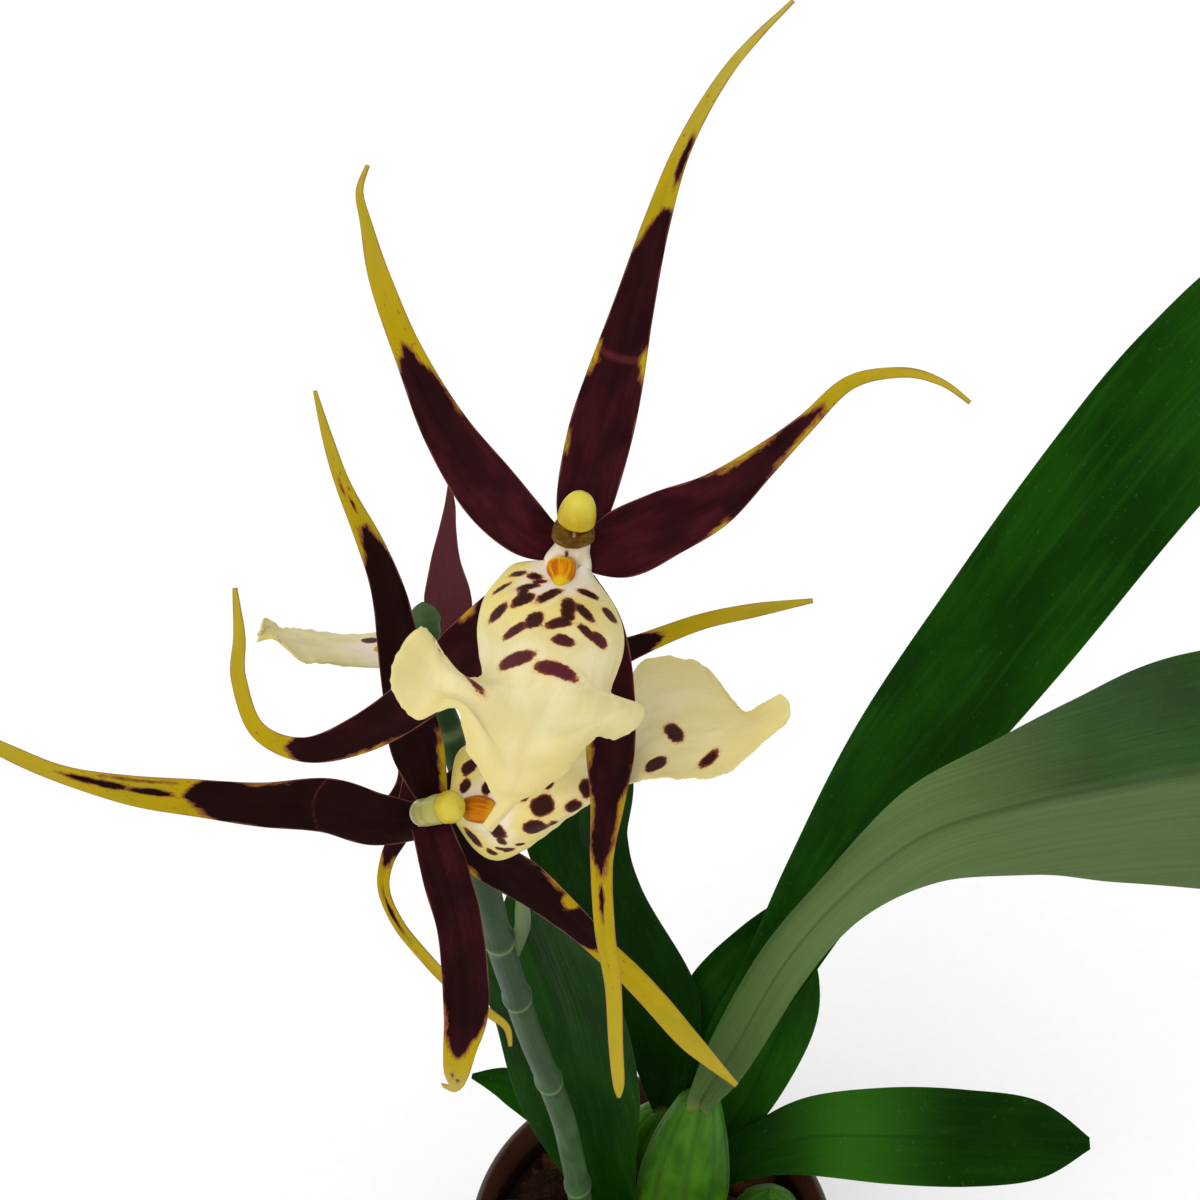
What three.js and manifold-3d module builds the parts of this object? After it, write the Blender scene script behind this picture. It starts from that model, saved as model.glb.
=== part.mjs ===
// A brassia orchid in its pot. Millimetres, +Z up. The origin is the centre of the pot's foot.
// Every leaf, stem, sepal, petal, lip, column and cap is one closed solid of its own, because each
// one grew or was made as one piece. Three flowers sit on one arching spike.
import * as THREE from 'three';
import * as BufferGeometryUtils from 'three/addons/utils/BufferGeometryUtils.js';
import Module from 'manifold-3d';

const wasm = await Module();
wasm.setup();

// ---- Driving dimensions -------------------------------------------------------------------------
const POT_HEIGHT = 116;
const POT_FOOT_RADIUS = 49;
const POT_TOP_RADIUS = 66.5;
const POT_BAND_RADIUS = 70;
const POT_BAND_HEIGHT = 13;
const POT_WALL = 2;
const POT_FLOOR = 2.4;
const DRAIN_RADIUS = 4.5;
const DRAIN_CIRCLE = 30;
const DRAIN_COUNT = 4;
const BARK_TOP = 103;
// The bark stands this far inside the pot's wall.
const BARK_GAP = 0.5;
const CLEARANCE = 0.35;

const SEPAL_THICKNESS = 1.0;
const PETAL_THICKNESS = 0.9;
const LIP_THICKNESS = 0.8;
const LEAF_THICKNESS = 1.5;
const BRACT_THICKNESS = 0.8;
// How far the edges of a blade lift, as a share of its width.
const SEPAL_CUP = 0.06;
const PETAL_CUP = 0.05;
const BRACT_CUP = 0.15;
// How sharply a blade folds along its middle: 2 is a round channel, 1 is a sharp fold.
const ROUND_KEEL = 2;
const LEAF_KEEL = 1.3;
// Each flower is drawn flat in its own plane, which leans back by this angle from the horizontal.
const FLOWER_LEAN = THREE.MathUtils.degToRad(55);

// How finely each kind of piece is meshed: steps along it, and sides or cells across it.
const POT_SIDES = 40;
const DRAIN_SIDES = 16;
const CHIP_CELLS = [2, 2, 1];
const BULB_MESH = { stations: 9, sides: 14 };
const LEAF_MESH = { stations: 16, cells: 4 };
const SPIKE_MESH = { stations: 24, sides: 10 };
const TIP_BUD_MESH = { stations: 6, sides: 10 };
const BRACT_MESH = { stations: 6, cells: 4 };
const TEPAL_MESH = { stations: 16, cells: 2 };
const LIP_MESH = { stations: 20, cells: 8 };
const COLUMN_MESH = { stations: 6, sides: 10 };
const CAP_MESH = { stations: 5, sides: 10 };
const OVARY_MESH = { stations: 8, sides: 8 };

// ---- Materials ----------------------------------------------------------------------------------
function finish(name, colour, roughness) {
  return new THREE.MeshStandardMaterial({ name, color: colour, roughness, metalness: 0 });
}

const MATERIALS = {
  pot: finish('pot_plastic', '#2a1712', 0.3),
  bark: finish('bark', '#4f3424', 0.9),
  bulb: finish('pseudobulb', '#4c7426', 0.5),
  leaf: finish('leaf', '#245116', 0.4),
  spike: finish('spike', '#4c6b48', 0.5),
  tepal: finish('tepal', '#3a141c', 0.5),
  lip: finish('lip', '#e0d49a', 0.6),
  column: finish('column', '#c9cb9c', 0.5),
  cap: finish('anther_cap', '#cdbf2a', 0.45),
};

const plant = new THREE.Group();
plant.name = 'brassia_orchid';

function addPiece(parent, name, geometry, material) {
  const mesh = new THREE.Mesh(geometry, material.clone());
  mesh.name = name;
  parent.add(mesh);
  return mesh;
}

// ---- Curves -------------------------------------------------------------------------------------
// A smooth entry at u (0 to 1) along a list of hand-placed rows. It passes through every row, and
// the columns of a row (position, width) all run along together.
function smoothRow(rows, u) {
  const last = rows.length - 1;
  const place = THREE.MathUtils.clamp(u, 0, 1) * last;
  const k = Math.min(Math.floor(place), last - 1);
  const f = place - k;
  const before = rows[Math.max(k - 1, 0)];
  const start = rows[k];
  const end = rows[k + 1];
  const after = rows[Math.min(k + 2, last)];
  return start.map((value, i) => {
    const slopeIn = (end[i] - before[i]) / 2;
    const slopeOut = (after[i] - value) / 2;
    const rise = end[i] - value;
    const square = 3 * rise - 2 * slopeIn - slopeOut;
    const cube = slopeIn + slopeOut - 2 * rise;
    return value + f * (slopeIn + f * (square + f * cube));
  });
}

function pointOf(row) {
  return new THREE.Vector3(row[0], row[1], row[2]);
}

// The direction a row list runs in at u.
function directionAt(rows, u) {
  const step = 0.01;
  const ahead = pointOf(smoothRow(rows, u + step));
  return ahead.sub(pointOf(smoothRow(rows, u - step))).normalize();
}

// ---- Closed solids ------------------------------------------------------------------------------
function geometryOf(points, triangles) {
  const geometry = new THREE.BufferGeometry();
  geometry.setFromPoints(points);
  geometry.setIndex(triangles);
  geometry.computeVertexNormals();
  return geometry;
}

// The direction a sheet of points faces at one of its points.
function sheetNormal(grid, i, j) {
  const lastRow = grid.length - 1;
  const lastColumn = grid[0].length - 1;
  const along = grid[Math.min(i + 1, lastRow)][j].clone().sub(grid[Math.max(i - 1, 0)][j]);
  const across = grid[i][Math.min(j + 1, lastColumn)].clone().sub(grid[i][Math.max(j - 1, 0)]);
  return along.cross(across).normalize();
}

// One closed solid round a sheet of points. Each point is moved half the local thickness to either
// side, and the two skins are joined round their border.
function sheetSolid(grid, halfThickness) {
  const rows = grid.length;
  const columns = grid[0].length;
  const skin = rows * columns;
  const points = [];
  for (const side of [1, -1]) {
    for (let i = 0; i < rows; i += 1) {
      for (let j = 0; j < columns; j += 1) {
        const reach = side * halfThickness(i / (rows - 1), j / (columns - 1));
        points.push(grid[i][j].clone().addScaledVector(sheetNormal(grid, i, j), reach));
      }
    }
  }
  const triangles = [];
  const at = (i, j) => i * columns + j;
  for (let i = 0; i < rows - 1; i += 1) {
    for (let j = 0; j < columns - 1; j += 1) {
      const a = at(i, j);
      const b = at(i + 1, j);
      const c = at(i + 1, j + 1);
      const d = at(i, j + 1);
      triangles.push(a, b, c, a, c, d);
      triangles.push(a + skin, c + skin, b + skin, a + skin, d + skin, c + skin);
    }
  }
  const border = [];
  for (let i = 0; i < rows - 1; i += 1) {
    border.push(at(i, 0));
  }
  for (let j = 0; j < columns - 1; j += 1) {
    border.push(at(rows - 1, j));
  }
  for (let i = rows - 1; i > 0; i -= 1) {
    border.push(at(i, columns - 1));
  }
  for (let j = columns - 1; j > 0; j -= 1) {
    border.push(at(0, j));
  }
  border.forEach((p, k) => {
    const q = border[(k + 1) % border.length];
    triangles.push(q, p, p + skin, q, p + skin, q + skin);
  });
  return geometryOf(points, triangles);
}

// One closed solid through a run of rings with the same number of points, capped at both ends.
function ringSolid(rings) {
  const sides = rings[0].length;
  const points = rings.flat();
  const middleOf = (ring) => ring
    .reduce((sum, point) => sum.add(point), new THREE.Vector3())
    .multiplyScalar(1 / sides);
  const startMiddle = points.length;
  const endMiddle = startMiddle + 1;
  points.push(middleOf(rings[0]), middleOf(rings[rings.length - 1]));
  const endRing = (rings.length - 1) * sides;
  const triangles = [];
  for (let k = 0; k < sides; k += 1) {
    const next = (k + 1) % sides;
    for (let i = 0; i < rings.length - 1; i += 1) {
      const a = i * sides + k;
      const b = i * sides + next;
      triangles.push(a, b, b + sides, a, b + sides, a + sides);
    }
    triangles.push(startMiddle, next, k);
    triangles.push(endMiddle, endRing + k, endRing + next);
  }
  return geometryOf(points, triangles);
}

// ---- Plant shapes -------------------------------------------------------------------------------
// A blade (leaf, sepal or petal). Rows are [x, y, z, width]. The blade faces `facing` at its base
// and turns to face `tipFacing` at its tip. Its edge is `edgeShare` of its full thickness, and its
// tip `tipShare`.
function blade({
  rows, facing, tipFacing = facing, cup, keel = ROUND_KEEL, thickness, stations, cells,
}) {
  const grid = [];
  for (let i = 0; i <= stations; i += 1) {
    const u = i / stations;
    const [x, y, z, width] = smoothRow(rows, u);
    const direction = directionAt(rows, u);
    const side = direction.clone().cross(facing.clone().lerp(tipFacing, u)).normalize();
    const up = side.clone().cross(direction);
    const section = [];
    for (let j = 0; j <= cells; j += 1) {
      const across = (2 * j) / cells - 1;
      const lift = cup * width * Math.abs(across) ** keel;
      const point = new THREE.Vector3(x, y, z).addScaledVector(side, (across * width) / 2);
      section.push(point.addScaledVector(up, lift));
    }
    grid.push(section);
  }
  const edgeShare = 0.45;
  const tipShare = 0.5;
  return sheetSolid(grid, (u, v) => {
    const across = Math.abs(2 * v - 1);
    const thinAcross = 1 - (1 - edgeShare) * across ** 2;
    const thinAlong = 1 - (1 - tipShare) * u ** 2;
    return (thickness / 2) * thinAcross * thinAlong;
  });
}

// A stem-like solid. Rows are [x, y, z, half width, half depth]. The half width is measured along
// `wide`, the half depth square to it.
function stem({ rows, wide, stations, sides }) {
  const rings = [];
  for (let i = 0; i <= stations; i += 1) {
    const u = i / stations;
    const [x, y, z, halfWidth, halfDepth = halfWidth] = smoothRow(rows, u);
    const direction = directionAt(rows, u);
    const depthwise = direction.clone().cross(wide).normalize();
    const widthwise = depthwise.clone().cross(direction);
    const ring = [];
    for (let k = 0; k < sides; k += 1) {
      const angle = (2 * Math.PI * k) / sides;
      const point = new THREE.Vector3(x, y, z);
      point.addScaledVector(widthwise, halfWidth * Math.cos(angle));
      ring.push(point.addScaledVector(depthwise, halfDepth * Math.sin(angle)));
    }
    rings.push(ring);
  }
  return ringSolid(rings);
}

// A dome standing on `base`, reaching `height` along `axis`.
function domeRows(base, axis, radius, height) {
  const turns = [0, 18, 36, 54, 70, 82];
  return turns.map((degrees) => {
    const angle = THREE.MathUtils.degToRad(degrees);
    const point = base.clone().addScaledVector(axis, height * Math.sin(angle));
    return [point.x, point.y, point.z, radius * Math.cos(angle)];
  });
}

// A lip, drawn as a net of hand-placed points: rows run from its base to its tip, each row from one
// edge to the other. The net is smoothed both ways.
function lipSolid(net, { stations, cells }) {
  const grid = [];
  for (let i = 0; i <= stations; i += 1) {
    const u = i / stations;
    const columns = net[0].map((_, j) => smoothRow(net.map((row) => row[j]), u));
    const section = [];
    for (let j = 0; j <= cells; j += 1) {
      section.push(pointOf(smoothRow(columns, j / cells)));
    }
    grid.push(section);
  }
  return sheetSolid(grid, () => LIP_THICKNESS / 2);
}

// ---- Pot and bark -------------------------------------------------------------------------------
function turned(profile) {
  const points = profile.map(([radius, height]) => new THREE.Vector2(radius, height));
  const geometry = new THREE.LatheGeometry(points, POT_SIDES);
  geometry.rotateX(Math.PI / 2);
  return geometry;
}

// Keeps only the positions and joins equal ones, so the surface is closed.
function closedOnly(geometry) {
  const plain = geometry.clone();
  plain.deleteAttribute('normal');
  plain.deleteAttribute('uv');
  const sameWithin = 1e-4;
  return BufferGeometryUtils.mergeVertices(plain, sameWithin);
}

function toSolid(geometry) {
  const closed = closedOnly(geometry);
  return new wasm.Manifold(new wasm.Mesh({
    numProp: 3,
    vertProperties: new Float32Array(closed.attributes.position.array),
    triVerts: new Uint32Array(closed.index.array),
  }));
}

function fromSolid(solid) {
  const mesh = solid.getMesh();
  const geometry = new THREE.BufferGeometry();
  geometry.setAttribute('position', new THREE.BufferAttribute(mesh.vertProperties, 3));
  geometry.setIndex(new THREE.BufferAttribute(mesh.triVerts, 1));
  geometry.computeVertexNormals();
  return geometry;
}

// The radius of the pot's outer wall at a height below its band.
function wallRadius(height) {
  const share = height / (POT_HEIGHT - POT_BAND_HEIGHT);
  return POT_FOOT_RADIUS + (POT_TOP_RADIUS - POT_FOOT_RADIUS) * share;
}

// The band at the top stands out from the wall, narrows a little downwards and has a rounded rim.
function potGeometry() {
  const band = POT_HEIGHT - POT_BAND_HEIGHT;
  const footRound = 2.5;
  const bandDraft = 0.8;
  const bandRound = 0.6;
  const rimRound = 1.2;
  const rimWidth = 3;
  const rimDepth = 2.5;
  const innerTop = POT_BAND_RADIUS - rimWidth;
  const profile = [
    [0, 0],
    [POT_FOOT_RADIUS - footRound, 0],
    [wallRadius(footRound), footRound],
    [wallRadius(band), band],
    [POT_BAND_RADIUS - bandDraft - bandRound, band],
    [POT_BAND_RADIUS - bandDraft, band + bandRound],
    [POT_BAND_RADIUS, POT_HEIGHT - rimDepth],
    [POT_BAND_RADIUS, POT_HEIGHT - rimRound],
    [POT_BAND_RADIUS - rimRound, POT_HEIGHT],
    [innerTop + rimRound / 2, POT_HEIGHT],
    [innerTop, POT_HEIGHT - rimDepth],
    [wallRadius(band) - POT_WALL, band - POT_WALL],
    [wallRadius(POT_FLOOR) - POT_WALL, POT_FLOOR],
    [0, POT_FLOOR],
  ];
  let pot = toSolid(turned(profile));
  for (let k = 0; k < DRAIN_COUNT; k += 1) {
    const angle = ((k + 0.5) / DRAIN_COUNT) * 2 * Math.PI;
    const reach = 3 * POT_FLOOR;
    const hole = new THREE.CylinderGeometry(DRAIN_RADIUS, DRAIN_RADIUS, reach, DRAIN_SIDES);
    hole.rotateX(Math.PI / 2);
    hole.translate(DRAIN_CIRCLE * Math.cos(angle), DRAIN_CIRCLE * Math.sin(angle), POT_FLOOR / 2);
    pot = pot.subtract(toSolid(hole));
  }
  return fromSolid(pot);
}

// The bark fills the pot from just above its floor to a flat top with a sunken edge.
function barkGeometry() {
  const foot = POT_FLOOR + CLEARANCE;
  const flatRadius = 56;
  const edgeDrop = 5;
  const edgeRound = 2;
  const edge = BARK_TOP - edgeDrop;
  const innerAt = (height) => wallRadius(height) - POT_WALL - BARK_GAP;
  const geometry = closedOnly(turned([
    [0, foot],
    [innerAt(foot), foot],
    [innerAt(edge), edge],
    [innerAt(edge) - edgeRound, BARK_TOP - edgeRound],
    [flatRadius, BARK_TOP],
    [0, BARK_TOP],
  ]));
  geometry.computeVertexNormals();
  return geometry;
}

// A rough lump of bark: a box whose corners are pushed in and out by up to `skew` of their reach.
// The flat bottom stays flat.
function chipGeometry(length, width, height) {
  const skew = 0.12;
  const cornerStep = 3.1;
  const firstCorner = 1;
  const geometry = new THREE.BoxGeometry(length, width, height, ...CHIP_CELLS);
  const closed = closedOnly(geometry);
  const position = closed.attributes.position;
  for (let i = 0; i < position.count; i += 1) {
    const x = position.getX(i);
    const y = position.getY(i);
    const z = position.getZ(i);
    const push = 1 + skew * Math.sin(cornerStep * i + firstCorner);
    const bottom = z < 0;
    position.setXYZ(i, x * push, y * (bottom ? 1 : push), bottom ? z : z * push);
  }
  closed.computeVertexNormals();
  return closed;
}

addPiece(plant, 'pot', potGeometry(), MATERIALS.pot);
addPiece(plant, 'bark_bed', barkGeometry(), MATERIALS.bark);

// [x, y, turn in degrees, length, width, height]
const CHIPS = [
  [-42, 22, 20, 20, 13, 8],
  [34, -32, -35, 22, 12, 7],
  [-12, -44, 10, 17, 12, 8],
  [23, 46, 60, 18, 11, 7],
];
CHIPS.forEach(([x, y, turn, length, width, height], k) => {
  const chip = chipGeometry(length, width, height);
  const mesh = addPiece(plant, `bark_chip_${k + 1}`, chip, MATERIALS.bark);
  mesh.position.set(x, y, BARK_TOP + CLEARANCE + height / 2);
  mesh.rotation.z = THREE.MathUtils.degToRad(turn);
});

// ---- Pseudobulbs --------------------------------------------------------------------------------
const ACROSS = new THREE.Vector3(1, 0, 0);
const BULB_FOOT = BARK_TOP + CLEARANCE;
// Rows are [x, y, z, half width, half depth].
const BULBS = {
  front_bulb: [
    [10, 4, BULB_FOOT, 10, 6],
    [10, 4, BULB_FOOT + 14, 15, 8.5],
    [11, 4, BULB_FOOT + 36, 17, 9.5],
    [13, 5, BULB_FOOT + 62, 14, 8],
    [15, 5.5, BULB_FOOT + 82, 9, 5.5],
    [16, 6, BULB_FOOT + 90, 5, 3.5],
  ],
  right_bulb: [
    [45, 10, BULB_FOOT, 8, 6],
    [45, 10, BULB_FOOT + 7, 12.5, 8.5],
    [45, 10, BULB_FOOT + 14, 12, 8],
    [45, 10, BULB_FOOT + 20, 7.5, 5],
    [45, 10, BULB_FOOT + 23.5, 3.5, 2.5],
  ],
  back_bulb: [
    [-2, 37, BULB_FOOT, 8, 6],
    [-2, 37, BULB_FOOT + 10, 12, 8],
    [-1, 36, BULB_FOOT + 24, 12, 8],
    [2, 34, BULB_FOOT + 36, 8, 5.5],
    [4, 33, BULB_FOOT + 43, 4, 3],
  ],
};
for (const [name, rows] of Object.entries(BULBS)) {
  addPiece(plant, name, stem({ rows, wide: ACROSS, ...BULB_MESH }), MATERIALS.bulb);
}

// ---- Leaves -------------------------------------------------------------------------------------
// Rows are [x, y, z, width]. The two tall leaves stand on the front bulb.
const LEAVES = {
  tall_leaf: {
    facing: [-0.25, -0.75, 0.6],
    cup: 0.1,
    rows: [
      [18, 9.5, 195, 8], [26, 19, 206, 16], [41, 29, 228, 22], [57.5, 35, 270, 29],
      [78, 37, 323, 37], [103, 38, 377, 41], [125, 43, 418, 42], [146, 49, 449, 42],
      [168, 56, 472, 36], [190, 60, 488, 4],
    ],
  },
  arching_leaf: {
    facing: [-0.35, -0.85, 0.4],
    tipFacing: [-1, 0, 0],
    cup: 0.08,
    rows: [
      [16, 2, 195, 9], [26, 8, 212, 16], [42, 15.5, 249, 18], [59, 14, 284.5, 18],
      [77.5, 3.5, 321, 28], [94.5, -18.5, 354, 37], [104.5, -47.5, 388, 45], [111, -77, 420, 50],
      [122, -100, 441, 46], [138, -119, 452, 30], [154, -132, 455, 3],
    ],
  },
  low_leaf: {
    facing: [-0.35, -0.45, 0.8],
    tipFacing: [0, -0.35, 0.94],
    cup: 0.08,
    rows: [
      [18, 15.5, 105, 8], [28, 16, 131, 13], [43, 16, 144.5, 20], [62, 17, 150.5, 29],
      [88, 13, 156.5, 34], [115, 7, 164, 34], [139, 3, 169.2, 27], [156, 0, 171.4, 4],
    ],
  },
  dark_leaf: {
    facing: [0, -1, 0.3],
    cup: 0.1,
    rows: [
      [4, 33, 149, 8], [4, 35, 178, 24], [-2, 35, 212, 34], [-19.2, 34, 263, 28],
      [-27.6, 29, 297, 33], [-25.5, 26, 332, 30], [-31, 29, 357, 2],
    ],
  },
  young_leaf: {
    facing: [0, -1, 0.3],
    cup: 0.12,
    rows: [
      [-16, 1, 104.5, 12], [-16, 0, 130, 18], [-21, -1, 165, 28], [-27, -1, 205, 41],
      [-33, -4, 250, 41], [-40.3, -6, 282.5, 33.5], [-46.5, -6, 307, 3],
    ],
  },
  small_leaf: {
    facing: [0, -0.8, 0.6],
    cup: 0.12,
    rows: [
      [-18, 14, 104.5, 10], [-22, 17, 127, 13], [-35, 21, 156, 17], [-52, 22, 175, 14],
      [-67, 21, 182, 2],
    ],
  },
  back_leaf: {
    facing: [-0.2, -0.9, 0.4],
    cup: 0.12,
    rows: [
      [8, 35, 149, 7], [16, 38, 169, 18], [23.5, 40, 200, 27], [39.5, 44, 224.5, 24.5],
      [58, 47, 244.5, 18], [74, 51, 262, 2],
    ],
  },
  side_leaf: {
    facing: [-0.2, -0.8, 0.5],
    cup: 0.12,
    rows: [
      [20, 26, 105, 9], [28.5, 29.5, 130, 14], [39.5, 31.5, 164, 20], [46.5, 29.5, 203, 23],
      [49, 32, 226, 19], [51, 38, 244, 2],
    ],
  },
  base_leaf: {
    facing: [0, -0.7, 0.7],
    cup: 0.15,
    rows: [
      [29, 0, 105.6, 10], [33, -2, 115, 14], [40, -5, 126, 14], [50, -8, 136, 9],
      [59, -11, 142, 2],
    ],
  },
};
for (const [name, { rows, facing, tipFacing = facing, cup }] of Object.entries(LEAVES)) {
  const shape = blade({
    rows,
    facing: new THREE.Vector3(...facing).normalize(),
    tipFacing: new THREE.Vector3(...tipFacing).normalize(),
    cup,
    keel: LEAF_KEEL,
    thickness: LEAF_THICKNESS,
    ...LEAF_MESH,
  });
  addPiece(plant, name, shape, MATERIALS.leaf);
}

// ---- Spike --------------------------------------------------------------------------------------
// Rows are [x, y, z, radius].
const SPIKE_ROWS = [
  [-25.5, -14, 104, 4.3], [-27, -15, 158, 4.2], [-31.8, -27, 225, 3.9], [-39.6, -44, 288, 3.6],
  [-44, -67, 351, 3.4], [-46.2, -78, 388, 3.3], [-48, -80, 415, 2.9], [-52, -77, 434, 2.4],
  [-55, -73, 447, 1.9],
];
const spike = stem({ rows: SPIKE_ROWS, wide: ACROSS, ...SPIKE_MESH });
addPiece(plant, 'spike', spike, MATERIALS.spike);

const TIP_BUD_ROWS = [
  [-55.2, -72.4, 448.2, 1.7], [-55.4, -71.4, 450.6, 2.9], [-55.5, -70.3, 453.6, 3.2],
  [-55.7, -69.4, 456.2, 2.4], [-55.8, -68.9, 458, 0.8],
];
const tipBud = stem({ rows: TIP_BUD_ROWS, wide: ACROSS, ...TIP_BUD_MESH });
addPiece(plant, 'spike_tip_bud', tipBud, MATERIALS.spike);

// Thin scale leaves standing at the joints of the spike.
const BRACTS = {
  lower_bract: [
    [-26.6, -20.4, 132, 6], [-26.8, -21.4, 142, 6], [-27.4, -22.8, 153, 4], [-28, -24.2, 160, 0.8],
  ],
  upper_bract: [
    [-38.3, -65.6, 351, 5], [-37.4, -68.5, 360, 6], [-37.6, -71.8, 370, 4.5],
    [-38.8, -74.5, 378, 0.8],
  ],
};
const BRACT_FACING = {
  lower_bract: new THREE.Vector3(0, 1, -0.1).normalize(),
  upper_bract: new THREE.Vector3(-0.7, 0.7, -0.2).normalize(),
};
for (const [name, rows] of Object.entries(BRACTS)) {
  const facing = BRACT_FACING[name];
  const shape = blade({
    rows, facing, cup: BRACT_CUP, thickness: BRACT_THICKNESS, ...BRACT_MESH,
  });
  addPiece(plant, name, shape, MATERIALS.spike);
}

// ---- Flowers ------------------------------------------------------------------------------------
const FRONT_LIP = [
  [
    [-4, 0, 1], [-3, -1.5, 2.5], [-2, -2, 3.5], [-0.5, -2.5, 4],
    [0.5, -2, 3.5], [1.5, -1, 2.5], [2.5, 0, 1],
  ],
  [
    [-10, -0.6, -4], [-8.5, -2, 1], [-5, -3.5, 5], [-1, -4.5, 7.5],
    [2.5, -4.5, 5.5], [4.5, -4.5, 2], [4.5, -5.5, -3],
  ],
  [
    [-12.5, -4, -6.5], [-13.5, -5.5, 1], [-8.5, -6.5, 9], [-1.5, -7.5, 13],
    [3.5, -7.5, 10], [6.5, -7.5, 3.5], [6.5, -8.5, -5],
  ],
  [
    [-14, -10.5, -5.5], [-15, -10.5, 3], [-9.5, -10.5, 12], [-2, -11.5, 18],
    [4.5, -11, 14], [8, -11, 6], [6.5, -13.5, -4],
  ],
  [
    [-13.5, -16, -2], [-14.5, -15, 7], [-9.5, -14.5, 17], [-2, -15, 23],
    [4.5, -15, 18.5], [8, -15, 10], [6.5, -17.5, 0],
  ],
  [
    [-13, -18.5, 6], [-13.5, -18.5, 13], [-9.5, -18.5, 21.5], [-2.5, -19, 27],
    [3.5, -19.5, 23], [6, -20.5, 16], [5.5, -21.5, 10],
  ],
  [
    [-17, -18, 22], [-14.5, -19, 21.5], [-9.5, -20, 25], [-3.5, -21, 29],
    [3, -21, 27], [6.5, -21.2, 22.5], [8.3, -22, 20],
  ],
  [
    [-21.5, -10.5, 27], [-18, -17, 25], [-10, -21.5, 28], [-4, -22.5, 31],
    [2.5, -23, 30], [8, -22.3, 26], [11, -22.6, 22],
  ],
  [
    [-26, -17.6, 29], [-19.5, -19.6, 26], [-10.5, -23, 30], [-5, -24.5, 33.5],
    [2, -24.5, 32.5], [7.5, -23.5, 29], [11, -25, 22],
  ],
  [
    [-22.6, -24.2, 27], [-18.3, -21, 27.5], [-11, -25.5, 33], [-5.5, -26.5, 35.5],
    [0.5, -26, 35.5], [5, -25, 31], [7, -27.5, 25],
  ],
  [
    [-16.4, -22.3, 30], [-14.4, -22.4, 31.5], [-10, -27.5, 35], [-6.5, -28.5, 37],
    [-1.5, -28.5, 37], [2.6, -26.8, 33.5], [4.4, -26, 30],
  ],
  [
    [-14, -28.5, 33], [-12, -29, 35], [-9.5, -30, 37.5], [-6.5, -31, 39],
    [-3.5, -30.5, 39], [-1, -30, 37.5], [0.5, -30, 36],
  ],
  [
    [-10.5, -33, 37.5], [-10, -33, 38.5], [-8.5, -32.9, 39.6], [-7.2, -33, 40.1],
    [-5.6, -33.1, 39.9], [-4.3, -33.1, 39], [-3, -32.8, 37.6],
  ],
  [
    [-9.4, -34.4, 39.5], [-9.1, -34.5, 40.4], [-8.6, -34.6, 41], [-8, -34.8, 41.3],
    [-7.4, -34.6, 40.9], [-6.9, -34.4, 40.4], [-6.7, -34.4, 39.5],
  ],
  [
    [-11.5, -38, 38], [-11.4, -38.1, 38.3], [-11.2, -38.2, 38.5], [-11, -38.4, 38.7],
    [-10.8, -38.5, 38.5], [-10.6, -38.6, 38.3], [-10.5, -39, 38],
  ],
];
const LOWER_LIP = [
  [
    [5, 0.4, 1], [5.6, 0.8, 3.5], [6.2, 1.7, 5.2], [6.4, 2.4, 5.8],
    [6.2, 3.1, 5.2], [5.6, 3.8, 3.5], [5, 4.2, 1],
  ],
  [
    [9.5, -6.5, 0], [11, -3.5, 4], [13, -0.5, 9], [14, 2.5, 11],
    [13, 5.5, 9], [10.5, 8.5, 5], [6, 11.5, 0],
  ],
  [
    [14, -9, -2], [14.5, -5.5, 5], [16.5, -1.5, 12], [17.5, 3, 14.5],
    [16.5, 7, 11], [13.5, 11, 4], [9.5, 13.5, -5],
  ],
  [
    [20.2, -5.7, 1], [20.3, -3.6, 8], [21.5, 0, 15], [23, 4.5, 17.5],
    [22.5, 9, 14], [21, 12.5, 6], [18.5, 14, -5],
  ],
  [
    [26.7, 0.2, 8], [27.3, 1.8, 13], [28, 3.5, 18], [29, 7.5, 19.5],
    [29.5, 11, 15], [28.5, 14, 7], [27, 16.5, -4],
  ],
  [
    [33.6, 5.8, 16], [34.3, 7, 19], [35.5, 8.5, 21], [36.5, 11, 21],
    [36.5, 14.5, 17], [35.5, 16.5, 11], [34.5, 18, 4],
  ],
  [
    [41, 10, 26], [41, 11, 25], [42, 13, 23], [42.5, 16, 21],
    [43, 20, 15], [42.5, 24.5, 7], [41, 29, 0],
  ],
  [
    [47, 11, 31], [47.5, 12.5, 28], [48.5, 15, 25], [49.5, 18, 21],
    [50, 21.5, 15], [50.5, 25.5, 7], [50, 30, 0],
  ],
  [
    [53.5, 11, 30], [54, 13, 28], [54.5, 15.5, 26], [55, 18, 23],
    [55.5, 21, 18], [55.5, 24, 11], [54.5, 27.5, 5],
  ],
  [
    [58.5, 14, 28], [59, 15.5, 27], [59.5, 17.5, 25.5], [59.5, 19, 24],
    [59.6, 20, 21.5], [59.2, 20.8, 19.5], [58.8, 21.5, 18],
  ],
  [
    [62, 17, 27], [62.5, 18, 26.5], [62.5, 19, 26], [63, 20.5, 25],
    [63, 21.5, 24], [62.4, 22.2, 23], [62, 23, 22],
  ],
  [
    [65.5, 19.5, 25], [66, 20.5, 25], [66.5, 21.5, 25], [66.5, 22.5, 24.5],
    [66.5, 23.2, 24], [66, 24, 23.5], [65, 24.8, 23],
  ],
];

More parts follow.
